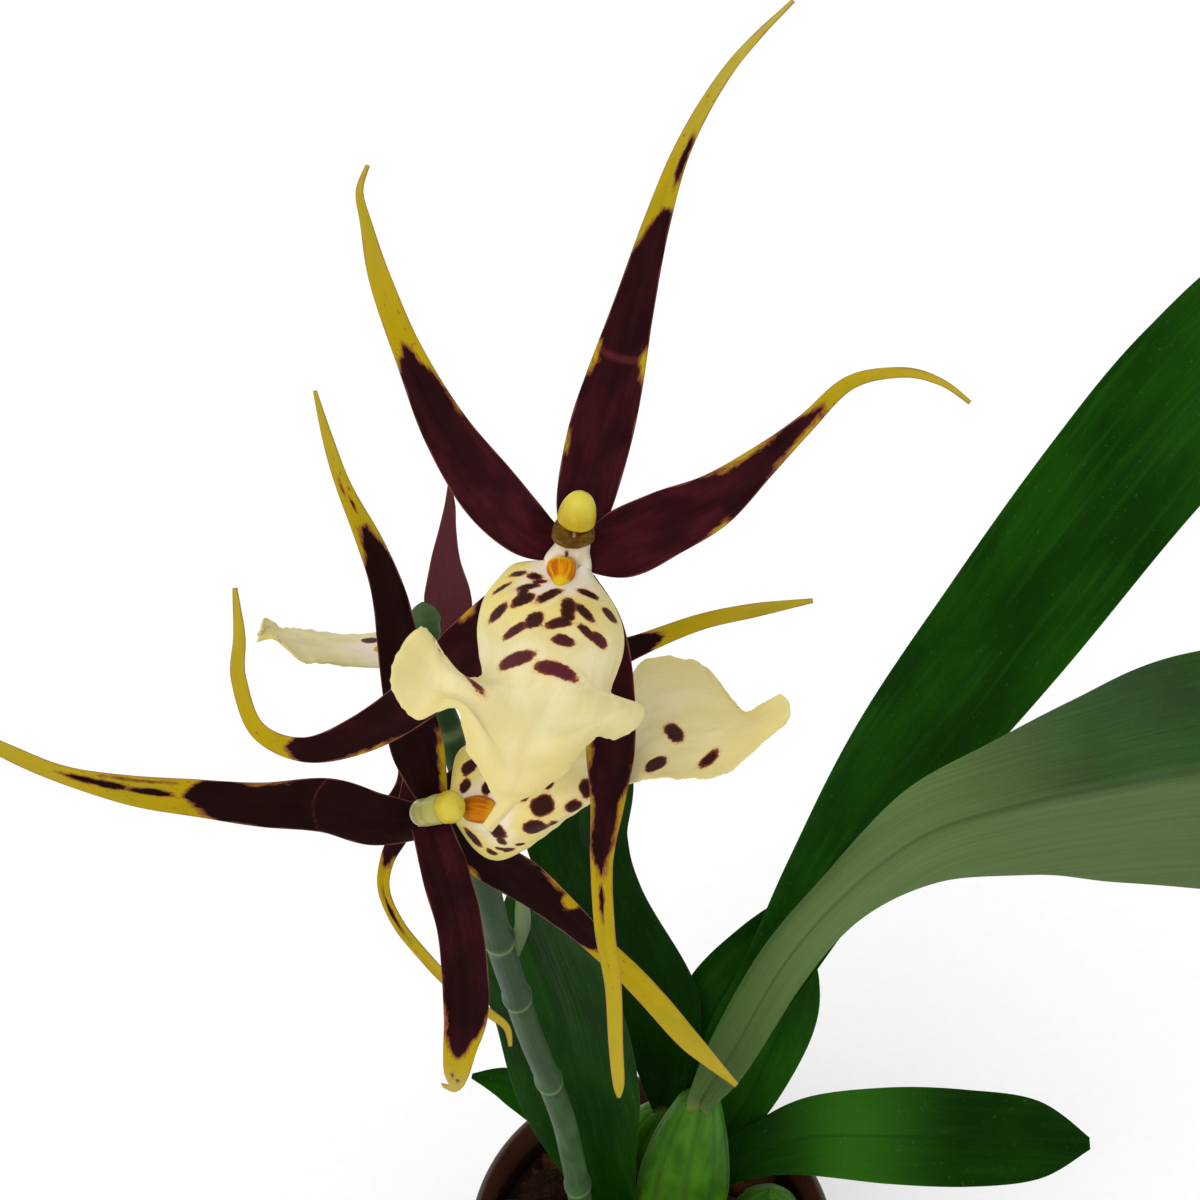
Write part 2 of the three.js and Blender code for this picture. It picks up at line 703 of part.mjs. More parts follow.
const BACK_LIP = [
  [
    [-3, 1.5, -4], [-3, 1, -2], [-3, 0, 0], [-2.5, -0.5, 1],
    [-2.5, -1.5, 2], [-2, -2, 3], [-2, -3, 4],
  ],
  [
    [-7, 3.5, -7], [-7, 3, -3], [-6.5, 1.5, 1], [-6.5, 0, 4],
    [-6, -1.5, 6], [-5.5, -2.5, 8], [-5, -3.5, 8],
  ],
  [
    [-13.5, 3, -8], [-13.5, 2.5, -3], [-13, 1.5, 3], [-12.5, 0, 7],
    [-12, -1, 10], [-11.5, -2, 12], [-10.5, -3, 13],
  ],
  [
    [-19.5, 3.5, -4], [-19.5, 3, 1], [-19, 2.5, 6], [-18, 1, 11],
    [-17.5, 0, 15], [-16.5, -1, 18], [-15.5, -2, 20],
  ],
  [
    [-24, 4.5, 2], [-23.5, 4, 7], [-22.5, 3, 12], [-21.5, 2, 16],
    [-20.5, 0.5, 20], [-19.5, -0.5, 23], [-18.5, -1.5, 25],
  ],
  [
    [-26, 5, 12], [-25.5, 4.5, 15], [-25, 4, 18], [-24, 3.5, 21],
    [-23, 2.5, 23], [-22, 1.5, 25], [-21, 0.5, 26],
  ],
  [
    [-27, 7, 20], [-27, 6.5, 21], [-26, 5.5, 23], [-26, 5, 24],
    [-25, 4, 25], [-24.5, 3.5, 26], [-24, 3, 26],
  ],
  [
    [-26.5, 6, 26], [-26.5, 5, 26.5], [-26.5, 4.5, 27], [-27, 4, 27],
    [-27, 3.5, 27], [-27, 3, 27], [-27.5, 2.5, 26.5],
  ],
];

// Tepal rows are [x, y, z, width] in the flower's own plane: x right, y up, z out of its face.
// Column rows are [x, y, z, half width, half depth], and ovary rows [x, y, z, radius].
const FLOWERS = {
  front: {
    centre: [-24.7, -105.1, 491.6],
    lip: FRONT_LIP,
    tepals: {
      dorsal_sepal: [
        [1, 2, -3, 5], [2, 9.5, -3.5, 9.5], [4.5, 20.5, -4, 11], [7, 30, -4, 10],
        [10.3, 42.5, -3, 7.1], [14.1, 56, 0, 4.6], [18.6, 68, 4, 2.8], [25.9, 79.4, 8, 1.8],
        [35.5, 89, 10, 0.7],
      ],
      left_petal: [
        [-2.8, 2.5, -1.6, 5.6], [-7.8, 5.3, 0.6, 9.2], [-14.2, 12, -1, 10.4], [-21.4, 22.4, -2, 8],
        [-27.4, 34.9, -1, 5], [-31.5, 46, 2, 3.8], [-33.6, 55, 4, 2], [-34.5, 60, 5, 1.3],
        [-33, 64, 6, 0.7],
      ],
      right_petal: [
        [2.3, 1.2, -1, 6.6], [8.3, 2.7, -1, 11.5], [15.5, 6.1, -1, 11.2], [23.5, 9.9, -1, 9.2],
        [31.2, 16, 0, 5.8], [38.4, 22.3, 2, 3.3], [45.5, 28.9, 4, 2.4], [53.5, 30.3, 6, 1.7],
        [59.5, 28.5, 8, 1.2], [64, 25, 9, 0.7],
      ],
      left_lateral_sepal: [
        [-3.5, -2, -3.5, 5], [-10, -7.5, -8, 9], [-18.5, -15.5, -10, 10], [-27.5, -24, -11, 8.5],
        [-37, -30, -11, 6.8], [-46.5, -32.6, -10, 4.4], [-54.6, -29.3, -10, 3],
        [-58.3, -20.5, -11, 2.7], [-58.5, -13, -12, 2.2], [-59.5, -4.5, -13, 0.8],
      ],
      right_lateral_sepal: [
        [1.5, -3.5, -3.5, 5], [5.4, -11, -7, 6.4], [6.6, -20.5, -8, 7.8], [6.5, -32, -8.5, 8.5],
        [6, -41.5, -9, 6], [5, -52, -10, 4], [5.5, -64, -12, 3.6], [7, -74.5, -14, 3],
        [7.5, -85.5, -15, 2.6], [8, -92.5, -16, 2.1], [8.1, -95.3, -16.3, 0.6],
      ],
    },
    column: [
      [0.2, 2.6, -0.2, 2.9, 2.9], [0.25, 2.9, 3.5, 2.8, 2.6], [0.35, 4.2, 6.5, 3.3, 2.7],
      [0.55, 5.5, 9.2, 3.1, 2.6],
    ],
    cap: { base: [0.9, 6.3, 9.95], axis: [0.2, 0.78, 0.62], radius: 3.1, height: 5.3 },
    ovary: [
      [0, 0, -4.6, 2.4], [-4, -3.5, -12, 1.8], [-11, -9.5, -24, 1.6], [-21, -15, -38, 1.5],
      [-27.8, -18.2, -48.5, 1.4],
    ],
  },
  lower: {
    centre: [-53.5, -104.1, 432.6],
    lip: LOWER_LIP,
    tepals: {
      dorsal_sepal: [
        [-1.3, -1.4, 0.1, 7.2], [-8.5, 0.6, 8, 10], [-16, 4, 14, 10], [-26, 5, 20, 8],
        [-36.5, 7, 26, 6.5], [-47, 9, 30, 5], [-57, 12, 33, 3], [-67, 16.5, 34, 2.5],
        [-78.5, 22.5, 34, 0.8],
      ],
      right_petal: [
        [1.7, 3.6, 1.8, 5.8], [-0.5, 13, 6, 10], [-2, 22.5, 9, 9], [-3.3, 33, 12, 7.8],
        [-4.8, 43, 15, 6.1], [-7.8, 52, 18, 4.6], [-11.6, 61, 21, 2.8], [-14, 69, 23, 2],
        [-16, 77.5, 25, 0.7],
      ],
      left_petal: [
        [1.2, -1.2, 1.7, 7.4], [4.8, -10.5, 6, 9], [7.5, -18, 10, 8.5], [9, -26, 14, 8.5],
        [9.5, -33, 17, 8], [8.5, -39, 18, 6], [7.5, -44.5, 15, 4.5], [6.5, -49, 9, 2],
        [4, -50, 5, 0.8],
      ],
      left_lateral_sepal: [
        [3.2, -2.4, 0, 6], [11, -8.8, -4, 8.2], [18.3, -14, -8, 8.4], [27, -21.9, -12, 6.2],
        [34.5, -30, -16, 4.8], [42.5, -38.5, -19, 5], [52, -50, -22, 4.5], [62, -60, -24, 1],
      ],
      right_lateral_sepal: [
        [3.2, 3, 0, 6], [12.5, 10, -12, 9], [22, 19.5, -20, 9], [32.5, 27.5, -26, 7],
        [43, 32, -30, 4.5], [55, 36.5, -30, 3.5], [66.5, 39, -29, 3], [78.5, 41, -28, 1],
      ],
    },
    column: [
      [0, 1, 3.5, 2.6, 2.6], [1.7, 1.7, 7, 2.7, 2.7], [3.4, 2.5, 9.6, 2.8, 2.8],
      [5.2, 3, 11, 2.7, 2.7],
    ],
    cap: { base: [5.7, 3.2, 11.7], axis: [0.62, 0.1, 0.78], radius: 3.1, height: 3.4 },
    ovary: [
      [-0.5, 0, -2, 2.4], [0, -1, -9, 1.8], [1.4, -1, -16, 1.6], [3, 0.5, -20.5, 1.5],
      [3.8, 1.8, -23.6, 1.4],
    ],
  },
  back: {
    centre: [-59.6, -60.4, 439.2],
    lip: BACK_LIP,
    tepals: {
      dorsal_sepal: [
        [3.5, 0.5, -2, 5], [9.5, -1.5, -8, 7.5], [16, -3.5, -16, 7.5], [23.5, -5, -26, 7],
        [30.5, -7.5, -36, 6], [37, -10.5, -46, 3.5], [40.5, -13.5, -52, 1],
      ],
      right_petal: [
        [4, 3.5, -1, 5.5], [7, 7.5, 1, 9.6], [7.2, 12, 2, 9.9], [6.9, 19, 3, 6.4],
        [7.4, 25.5, 4, 3.8], [8, 30.5, 5, 2.4], [8, 34.8, 6, 0.8],
      ],
      left_petal: [
        [1.5, -4.5, 3, 5.5], [2.5, -16.5, 6, 6.5], [1.5, -28, 8, 6.5], [-2, -37.5, 8, 4.5],
        [-5, -44, 7, 3], [-5.5, -50.5, 7, 2.5], [-2, -58, 7, 2.5], [4, -65.5, 6, 2.5],
        [10.5, -72, 6, 2.4], [16.5, -76.2, 6, 2], [20, -79, 6, 1.5], [20.8, -83, 6, 0.8],
      ],
      right_lateral_sepal: [
        [-3, 3.5, -1, 5], [-6.5, 10, -8, 6], [-10.5, 17, -18, 5.5], [-15, 23.5, -28, 4],
        [-19.5, 30, -38, 2.5], [-22, 35, -46, 1],
      ],
      left_lateral_sepal: [
        [-1.5, -4, -2, 4.5], [-2, -12, -4, 6], [-1.5, -21.5, -6, 6], [-2.5, -30.5, -8, 6],
        [-8, -36.5, -9, 6], [-19, -36, -10, 6], [-31, -34.5, -10, 4.5], [-43, -34, -9, 2],
        [-50.5, -33.5, -8, 1],
      ],
    },
    column: [
      [0, 3, 0.5, 2.2, 2.2], [-1, 4.5, 3, 2.3, 2.3], [-2.4, 7, 4.6, 2.4, 2.4],
      [-3.4, 9.5, 5.2, 2.3, 2.3],
    ],
    cap: { base: [-3.7, 10.3, 5.4], axis: [-0.25, 0.95, 0.2], radius: 2.4, height: 4.4 },
    ovary: [
      [0.5, -2.5, -4.5, 2], [3.5, -8, -3.5, 1.8], [7, -13, 0.5, 1.6], [8.2, -16.5, 3.6, 1.4],
    ],
  },
};

for (const [where, flower] of Object.entries(FLOWERS)) {
  const group = new THREE.Group();
  group.position.set(...flower.centre);
  group.rotation.x = FLOWER_LEAN;
  plant.add(group);
  const facing = new THREE.Vector3(0, 0, 1);

  for (const [tepal, rows] of Object.entries(flower.tepals)) {
    const isSepal = tepal.includes('sepal');
    const shape = blade({
      rows,
      facing,
      cup: isSepal ? SEPAL_CUP : PETAL_CUP,
      thickness: isSepal ? SEPAL_THICKNESS : PETAL_THICKNESS,
      ...TEPAL_MESH,
    });
    addPiece(group, `${where}_${tepal}`, shape, MATERIALS.tepal);
  }

  addPiece(group, `${where}_lip`, lipSolid(flower.lip, LIP_MESH), MATERIALS.lip);

  const column = stem({ rows: flower.column, wide: ACROSS, ...COLUMN_MESH });
  addPiece(group, `${where}_column`, column, MATERIALS.column);

  const axis = new THREE.Vector3(...flower.cap.axis).normalize();
  const base = new THREE.Vector3(...flower.cap.base);
  const dome = domeRows(base, axis, flower.cap.radius, flower.cap.height);
  const cap = stem({ rows: dome, wide: ACROSS, ...CAP_MESH });
  addPiece(group, `${where}_anther_cap`, cap, MATERIALS.cap);

  const ovary = stem({ rows: flower.ovary, wide: ACROSS, ...OVARY_MESH });
  addPiece(group, `${where}_ovary`, ovary, MATERIALS.spike);
}

export default plant;
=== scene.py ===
"""A brassia orchid in its pot: three spidery flowers on one arching spike, strap leaves on swollen
green bulbs, and bark in a brown pot. The fine surface of every piece is made here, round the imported
solids. Tables are in millimetres, and the scene is in metres."""

import math
import random

import bpy
import numpy as np
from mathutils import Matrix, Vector, noise


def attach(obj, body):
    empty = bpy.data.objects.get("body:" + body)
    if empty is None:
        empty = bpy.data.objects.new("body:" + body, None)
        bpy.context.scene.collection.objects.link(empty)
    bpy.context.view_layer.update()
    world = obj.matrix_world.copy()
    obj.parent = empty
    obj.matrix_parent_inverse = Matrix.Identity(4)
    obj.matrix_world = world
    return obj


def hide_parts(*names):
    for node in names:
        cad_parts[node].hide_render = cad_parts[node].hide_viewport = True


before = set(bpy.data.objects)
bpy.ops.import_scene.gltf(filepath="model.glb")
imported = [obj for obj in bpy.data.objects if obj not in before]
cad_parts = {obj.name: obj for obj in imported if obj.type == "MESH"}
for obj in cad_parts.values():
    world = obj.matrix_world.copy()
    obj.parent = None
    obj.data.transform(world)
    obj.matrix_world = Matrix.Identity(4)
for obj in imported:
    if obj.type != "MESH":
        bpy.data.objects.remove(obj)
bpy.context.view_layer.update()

MM = 0.001
# Each flower is drawn flat in its own plane, which leans back by this angle from the horizontal.
FLOWER_LEAN = math.radians(55)
RIGHTWARD = np.array([1.0, 0.0, 0.0])
OUTWARD = np.array([0.0, 0.0, 1.0])

# ---- The pot and the bark --------------------------------------------------------------------------
POT_HEIGHT = 116
POT_FOOT_RADIUS = 49
POT_TOP_RADIUS = 66.5
POT_BAND_RADIUS = 70
POT_BAND_HEIGHT = 13
POT_BAND_FOOT = POT_HEIGHT - POT_BAND_HEIGHT
POT_WALL = 2
POT_FLOOR = 2.4
POT_BEVEL = 2.5
POT_CORNER = 0.8
# The band's steps are [in from its radius, up from its foot], and the rim's are [in from the band's
# radius, down from the top of the pot].
POT_BAND_STEPS = [[1.4, 0.4], [0.6, 3], [0.9, 3.6], [0.3, 4.4]]
POT_RIM_STEPS = [[0, 2.4], [0.3, 0.8], [1.5, 0], [2.4, 0.4], [3, 2.5]]
DRAIN_RADIUS = 4.5
DRAIN_CIRCLE = 30
DRAIN_COUNT = 4
BARK_TOP = 103
BED_TOP = BARK_TOP - 6
CLEARANCE = 0.35
BULB_FOOT = BARK_TOP + CLEARANCE

# Flakes of bark lie on a staggered grid, strayed and sunk by chance. A flake that would cross the
# wall by less than the pull is moved in, and one that would cross it by more is left out. Sizes are
# the least and most length, width and height.
FLAKE_SPACING = 8.2
FLAKE_STRAY = 2.4
FLAKE_SIZES = [(9, 17), (6, 11), (3, 6)]
FLAKE_DEPTHS = (1.2, 5)
FLAKE_TILT = 0.4
FLAKE_PULL = 4
CHIP_TILT = 0.1

# ---- The living sheets -----------------------------------------------------------------------------
SEPAL_THICKNESS = 0.95
PETAL_THICKNESS = 0.85
LIP_THICKNESS = 0.8
LEAF_THICKNESS = 1.4
BRACT_THICKNESS = 0.6
# How high a blade's edges stand over its middle, as a share of its width.
SEPAL_CUP = 0.06
PETAL_CUP = 0.05
BRACT_CUP = 0.3
# The power by which a blade rises from its middle: 2 is a round trough, and less is more of a fold.
ROUND_KEEL = 2
LEAF_KEEL = 1.3
# The longest wave along a blade's edges and its height.
SMALL_SWAY = (26, 0.2)
LEAF_SWAY = (120, 0.5)
# The power by which a blade's thickness holds out towards its edges.
EDGE_BLUNTNESS = 8

# ---- How finely the pieces are meshed --------------------------------------------------------------
# Each kind of piece has so many stations along it, and so many sides round it or cells across it.
MESH = {
    "bulb": (110, 108), "leaf": (130, 28), "spike": (340, 36), "tip_bud": (60, 40),
    "bract": (60, 20), "tepal": (190, 22), "lip": (160, 98), "callus": (60, 72),
    "column": (120, 96), "wing": (30, 36), "cap": (90, 72), "ovary": (120, 48),
}
CHIP_MESH = (26, 44)
POT_SIDES = 200
DRAIN_SIDES = 40
BED_SIDES = 96
LONGEST_STEP = 4
# A round piece's flat surface coordinates are laid round it as if it had this radius throughout.
SKIN_RADIUS = {
    "bulb": 12, "spike": 2.6, "tip_bud": 2, "callus": 2.2, "column": 3, "wing": 1.2, "cap": 3,
    "ovary": 1.8,
}
# A mark's value where what it shows is far away, beyond anything that its material looks at.
FAR = 9.0

# ---- Shapes, as rows of points ---------------------------------------------------------------------
# Bulb rows are [x, y, z, half width, half depth].
BULBS = {
    "front_bulb": [
        [10, 4, BULB_FOOT - 2, 9, 5.5], [10, 4, BULB_FOOT + 14, 15, 8.5],
        [11, 4, BULB_FOOT + 36, 17, 9.5], [13, 5, BULB_FOOT + 62, 14, 8],
        [15, 5.5, BULB_FOOT + 82, 9, 5.5], [16, 6, BULB_FOOT + 89.5, 5.5, 4],
    ],
    "right_bulb": [
        [45, 10, BULB_FOOT - 2, 7.5, 5.5], [45, 10, BULB_FOOT + 7, 12.5, 8.5],
        [45, 10, BULB_FOOT + 14, 12, 8], [45, 10, BULB_FOOT + 20, 7.5, 5],
        [45, 10, BULB_FOOT + 23.5, 4, 3],
    ],
    "back_bulb": [
        [-2, 37, BULB_FOOT - 2, 7.5, 5.5], [-2, 37, BULB_FOOT + 10, 12, 8],
        [-1, 36, BULB_FOOT + 24, 12, 8], [2, 34, BULB_FOOT + 36, 8, 5.5],
        [4, 33, BULB_FOOT + 43, 4.5, 3.5],
    ],
}

# The spike's rows and the tip bud's are [x, y, z, radius].
SPIKE_ROWS = [
    [-25.5, -14, 101, 4.3], [-27, -15, 158, 4.2], [-31.8, -27, 225, 3.9], [-39.6, -44, 288, 3.6],
    [-44, -67, 351, 3.4], [-46.2, -78, 388, 3.3], [-48, -80, 415, 2.9], [-52, -77, 434, 2.4],
    [-55, -73, 447.5, 1.9],
]
TIP_BUD_ROWS = [
    [-55, -73, 447, 1.9], [-55.3, -71.6, 450.4, 2.9], [-55.5, -70.3, 453.6, 3.2],
    [-55.7, -69.4, 456.2, 2.4], [-55.8, -69, 457.8, 0.9],
]
# How far up the spike its joints are, as shares of its length.
SPIKE_JOINTS = (0.205, 0.44, 0.63, 0.745, 0.86, 0.955)

# Bract rows are [x, y, z, width], from the base to the tip.
BRACTS = {
    "lower_bract": {
        "facing": [0, 1, -0.1],
        "rows": [
            [-26.2, -19.2, 129, 6.5], [-26.6, -20.9, 142, 6], [-27.4, -22.6, 153, 4],
            [-28, -24.2, 160, 0.8],
        ],
    },
    "upper_bract": {
        "facing": [-0.7, 0.7, -0.2],
        "rows": [
            [-41, -64.6, 345.5, 5], [-37.8, -68.3, 360, 6], [-37.8, -71.8, 370, 4.5],
            [-38.8, -74.5, 378, 0.8],
        ],
    },
}

# Loose bark chips are [x, y, turn in degrees, length, width, height].
CHIPS = [
    [-42, 22, 20, 20, 13, 8], [34, -32, -35, 22, 12, 7], [-12, -44, 10, 17, 12, 8],
    [23, 46, 60, 18, 11, 7],
]

# Leaf rows are [x, y, z, width], from the base to the tip. A leaf faces `facing` at its base and
# `tip_facing` at its tip. `dusk` is how deep its green is, and `youth_and_painted_light` how much
# lighter and fresher
# it is: young growth on the base leaf, painted light on the side leaf and a painted highlight across
# the middle of the low leaf.
LEAVES = {
    "tall_leaf": {
        "facing": [-0.25, -0.75, 0.6], "cup": 0.1, "dusk": 0.15,
        "rows": [
            [18, 9.5, 195, 8], [26, 19, 206, 16], [41, 29, 228, 22], [57.5, 35, 270, 29],
            [78, 37, 323, 37], [103, 38, 377, 41], [125, 43, 418, 42], [146, 49, 449, 42],
            [168, 56, 472, 36], [190, 60, 488, 4],
        ],
    },
    "arching_leaf": {
        "facing": [-0.35, -0.85, 0.4], "tip_facing": [-1, 0, 0], "cup": 0.08,
        "rows": [
            [16, 2, 195, 9], [26, 8, 212, 16], [42, 15.5, 249, 18], [59, 14, 284.5, 18],
            [77.5, 3.5, 321, 28], [94.5, -18.5, 354, 37], [104.5, -47.5, 388, 45],
            [111, -77, 420, 50], [122, -100, 441, 46], [138, -119, 452, 30], [154, -132, 455, 3],
        ],
    },
    "low_leaf": {
        "facing": [-0.35, -0.45, 0.8], "tip_facing": [0, -0.35, 0.94], "cup": 0.08, "dusk": 0.6,
        "youth_and_painted_light": 0.42,
        "rows": [
            [18, 15.5, 105, 8], [28, 16, 131, 13], [43, 16, 144.5, 20], [62, 17, 150.5, 29],
            [88, 13, 156.5, 34], [115, 7, 164, 34], [139, 3, 169.2, 27], [156, 0, 171.4, 4],
        ],
    },
    "dark_leaf": {
        "facing": [0, -1, 0.3], "cup": 0.1, "dusk": 0.6,
        "rows": [
            [4, 33, 149, 8], [4, 35, 178, 24], [-2, 35, 212, 34], [-19.2, 34, 263, 28],
            [-27.6, 29, 297, 33], [-25.5, 26, 332, 30], [-31, 29, 357, 2],
        ],
    },
    "young_leaf": {
        "facing": [0, -1, 0.3], "cup": 0.12, "dusk": 0.4,
        "rows": [
            [-16, 1, 104.5, 12], [-16, 0, 130, 18], [-21, -1, 165, 28], [-27, -1, 205, 41],
            [-33, -4, 250, 41], [-40.3, -6, 282.5, 33.5], [-46.5, -6, 307, 3],
        ],
    },
    "small_leaf": {
        "facing": [0, -0.8, 0.6], "cup": 0.12,
        "rows": [
            [-18, 14, 104.5, 10], [-22, 17, 127, 13], [-35, 21, 156, 17], [-52, 22, 175, 14],
            [-67, 21, 182, 2],
        ],
    },
    "back_leaf": {
        "facing": [-0.2, -0.9, 0.4], "cup": 0.12,
        "rows": [
            [8, 35, 149, 7], [16, 38, 169, 18], [23.5, 40, 200, 27], [39.5, 44, 224.5, 24.5],
            [58, 47, 244.5, 18], [74, 51, 262, 2],
        ],
    },
    "side_leaf": {
        "facing": [-0.2, -0.8, 0.5], "cup": 0.12, "youth_and_painted_light": 0.12,
        "rows": [
            [20, 26, 105, 9], [28.5, 29.5, 130, 14], [39.5, 31.5, 164, 20], [46.5, 29.5, 203, 23],
            [49, 32, 226, 19], [51, 38, 244, 2],
        ],
    },
    "base_leaf": {
        "facing": [0, -0.7, 0.7], "cup": 0.15, "youth_and_painted_light": 0.8,
        "rows": [
            [29, 0, 105.6, 10], [33, -2, 115, 14], [40, -5, 126, 14], [50, -8, 136, 9],
            [59, -11, 142, 2],
        ],
    },
}

# A lip is a net of points [x, y, z] in its flower's own plane: a row across it at each place from
# the base to the tip, and seven points a row, from the left-hand edge to the right-hand one.
FRONT_LIP = [
    [[-4, 0, 1], [-3, -1.5, 2.5], [-2, -2, 3.5], [-0.5, -2.5, 4],
     [0.5, -2, 3.5], [1.5, -1, 2.5], [2.5, 0, 1]],
    [[-10, -0.6, -4], [-8.5, -2, 1], [-5, -3.5, 5], [-1, -4.5, 7.5],
     [2.5, -4.5, 5.5], [4.5, -4.5, 2], [4.5, -5.5, -3]],
    [[-12.5, -4, -6.5], [-13.5, -5.5, 1], [-8.5, -6.5, 9], [-1.5, -7.5, 13],
     [3.5, -7.5, 10], [6.5, -7.5, 3.5], [6.5, -8.5, -5]],
    [[-14, -10.5, -5.5], [-15, -10.5, 3], [-9.5, -10.5, 12], [-2, -11.5, 18],
     [4.5, -11, 14], [8, -11, 6], [6.5, -13.5, -4]],
    [[-13.5, -16, -2], [-14.5, -15, 7], [-9.5, -14.5, 17], [-2, -15, 23],
     [4.5, -15, 18.5], [8, -15, 10], [6.5, -17.5, 0]],
    [[-13, -18.5, 6], [-13.5, -18.5, 13], [-9.5, -18.5, 21.5], [-2.5, -19, 27],
     [3.5, -19.5, 23], [6, -20.5, 16], [5.5, -21.5, 10]],
    [[-17, -18, 22], [-14.5, -19, 21.5], [-9.5, -20, 25], [-3.5, -21, 29],
     [3, -21, 27], [6.5, -21.2, 22.5], [8.3, -22, 20]],
    [[-21.5, -10.5, 27], [-18, -17, 25], [-10, -21.5, 28], [-4, -22.5, 31],
     [2.5, -23, 30], [8, -22.3, 26], [11, -22.6, 22]],
    [[-26, -17.6, 29], [-19.5, -19.6, 26], [-10.5, -23, 30], [-5, -24.5, 33.5],
     [2, -24.5, 32.5], [7.5, -23.5, 29], [11, -25, 22]],
    [[-22.6, -24.2, 27], [-18.3, -21, 27.5], [-11, -25.5, 33], [-5.5, -26.5, 35.5],
     [0.5, -26, 35.5], [5, -25, 31], [7, -27.5, 25]],
    [[-16.4, -22.3, 30], [-14.4, -22.4, 31.5], [-10, -27.5, 35], [-6.5, -28.5, 37],
     [-1.5, -28.5, 37], [2.6, -26.8, 33.5], [4.4, -26, 30]],
    [[-14, -28.5, 33], [-12, -29, 35], [-9.5, -30, 37.5], [-6.5, -31, 39],
     [-3.5, -30.5, 39], [-1, -30, 37.5], [0.5, -30, 36]],
    [[-10.5, -33, 37.5], [-10, -33, 38.5], [-8.5, -32.9, 39.6], [-7.2, -33, 40.1],
     [-5.6, -33.1, 39.9], [-4.3, -33.1, 39], [-3, -32.8, 37.6]],
    [[-9.4, -34.4, 39.5], [-9.1, -34.5, 40.4], [-8.6, -34.6, 41], [-8, -34.8, 41.3],
     [-7.4, -34.6, 40.9], [-6.9, -34.4, 40.4], [-6.7, -34.4, 39.5]],
    [[-11.5, -38, 38], [-11.4, -38.1, 38.3], [-11.2, -38.2, 38.5], [-11, -38.4, 38.7],
     [-10.8, -38.5, 38.5], [-10.6, -38.6, 38.3], [-10.5, -39, 38]],
]

LOWER_LIP = [
    [[5, 0.4, 1], [5.6, 0.8, 3.5], [6.2, 1.7, 5.2], [6.4, 2.4, 5.8],
     [6.2, 3.1, 5.2], [5.6, 3.8, 3.5], [5, 4.2, 1]],
    [[9.5, -6.5, 0], [11, -3.5, 4], [13, -0.5, 9], [14, 2.5, 11],
     [13, 5.5, 9], [10.5, 8.5, 5], [6, 11.5, 0]],
    [[14, -9, -2], [14.5, -5.5, 5], [16.5, -1.5, 12], [17.5, 3, 14.5],
     [16.5, 7, 11], [13.5, 11, 4], [9.5, 13.5, -5]],
    [[20.2, -5.7, 1], [20.3, -3.6, 8], [21.5, 0, 15], [23, 4.5, 17.5],
     [22.5, 9, 14], [21, 12.5, 6], [18.5, 14, -5]],
    [[26.7, 0.2, 8], [27.3, 1.8, 13], [28, 3.5, 18], [29, 7.5, 19.5],
     [29.5, 11, 15], [28.5, 14, 7], [27, 16.5, -4]],
    [[33.6, 5.8, 16], [34.3, 7, 19], [35.5, 8.5, 21], [36.5, 11, 21],
     [36.5, 14.5, 17], [35.5, 16.5, 11], [34.5, 18, 4]],
    [[41, 10, 26], [41, 11, 25], [42, 13, 23], [42.5, 16, 21],
     [43, 20, 15], [42.5, 24.5, 7], [41, 29, 0]],
    [[47, 11, 31], [47.5, 12.5, 28], [48.5, 15, 25], [49.5, 18, 21],
     [50, 21.5, 15], [50.5, 25.5, 7], [50, 30, 0]],
    [[53.5, 11, 30], [54, 13, 28], [54.5, 15.5, 26], [55, 18, 23],
     [55.5, 21, 18], [55.5, 24, 11], [54.5, 27.5, 5]],
    [[58.5, 14, 28], [59, 15.5, 27], [59.5, 17.5, 25.5], [59.5, 19, 24],
     [59.6, 20, 21.5], [59.2, 20.8, 19.5], [58.8, 21.5, 18]],
    [[62, 17, 27], [62.5, 18, 26.5], [62.5, 19, 26], [63, 20.5, 25],
     [63, 21.5, 24], [62.4, 22.2, 23], [62, 23, 22]],
    [[65.5, 19.5, 25], [66, 20.5, 25], [66.5, 21.5, 25], [66.5, 22.5, 24.5],
     [66.5, 23.2, 24], [66, 24, 23.5], [65, 24.8, 23]],
]

BACK_LIP = [
    [[-3, 1.5, -4], [-3, 1, -2], [-3, 0, 0], [-2.5, -0.5, 1],
     [-2.5, -1.5, 2], [-2, -2, 3], [-2, -3, 4]],
    [[-7, 3.5, -7], [-7, 3, -3], [-6.5, 1.5, 1], [-6.5, 0, 4],
     [-6, -1.5, 6], [-5.5, -2.5, 8], [-5, -3.5, 8]],
    [[-13.5, 3, -8], [-13.5, 2.5, -3], [-13, 1.5, 3], [-12.5, 0, 7],
     [-12, -1, 10], [-11.5, -2, 12], [-10.5, -3, 13]],
    [[-19.5, 3.5, -4], [-19.5, 3, 1], [-19, 2.5, 6], [-18, 1, 11],
     [-17.5, 0, 15], [-16.5, -1, 18], [-15.5, -2, 20]],
    [[-24, 4.5, 2], [-23.5, 4, 7], [-22.5, 3, 12], [-21.5, 2, 16],
     [-20.5, 0.5, 20], [-19.5, -0.5, 23], [-18.5, -1.5, 25]],
    [[-26, 5, 12], [-25.5, 4.5, 15], [-25, 4, 18], [-24, 3.5, 21],
     [-23, 2.5, 23], [-22, 1.5, 25], [-21, 0.5, 26]],
    [[-27, 7, 20], [-27, 6.5, 21], [-26, 5.5, 23], [-26, 5, 24],
     [-25, 4, 25], [-24.5, 3.5, 26], [-24, 3, 26]],
    [[-26.5, 6, 26], [-26.5, 5, 26.5], [-26.5, 4.5, 27], [-27, 4, 27],
     [-27, 3.5, 27], [-27, 3, 27], [-27.5, 2.5, 26.5]],
]
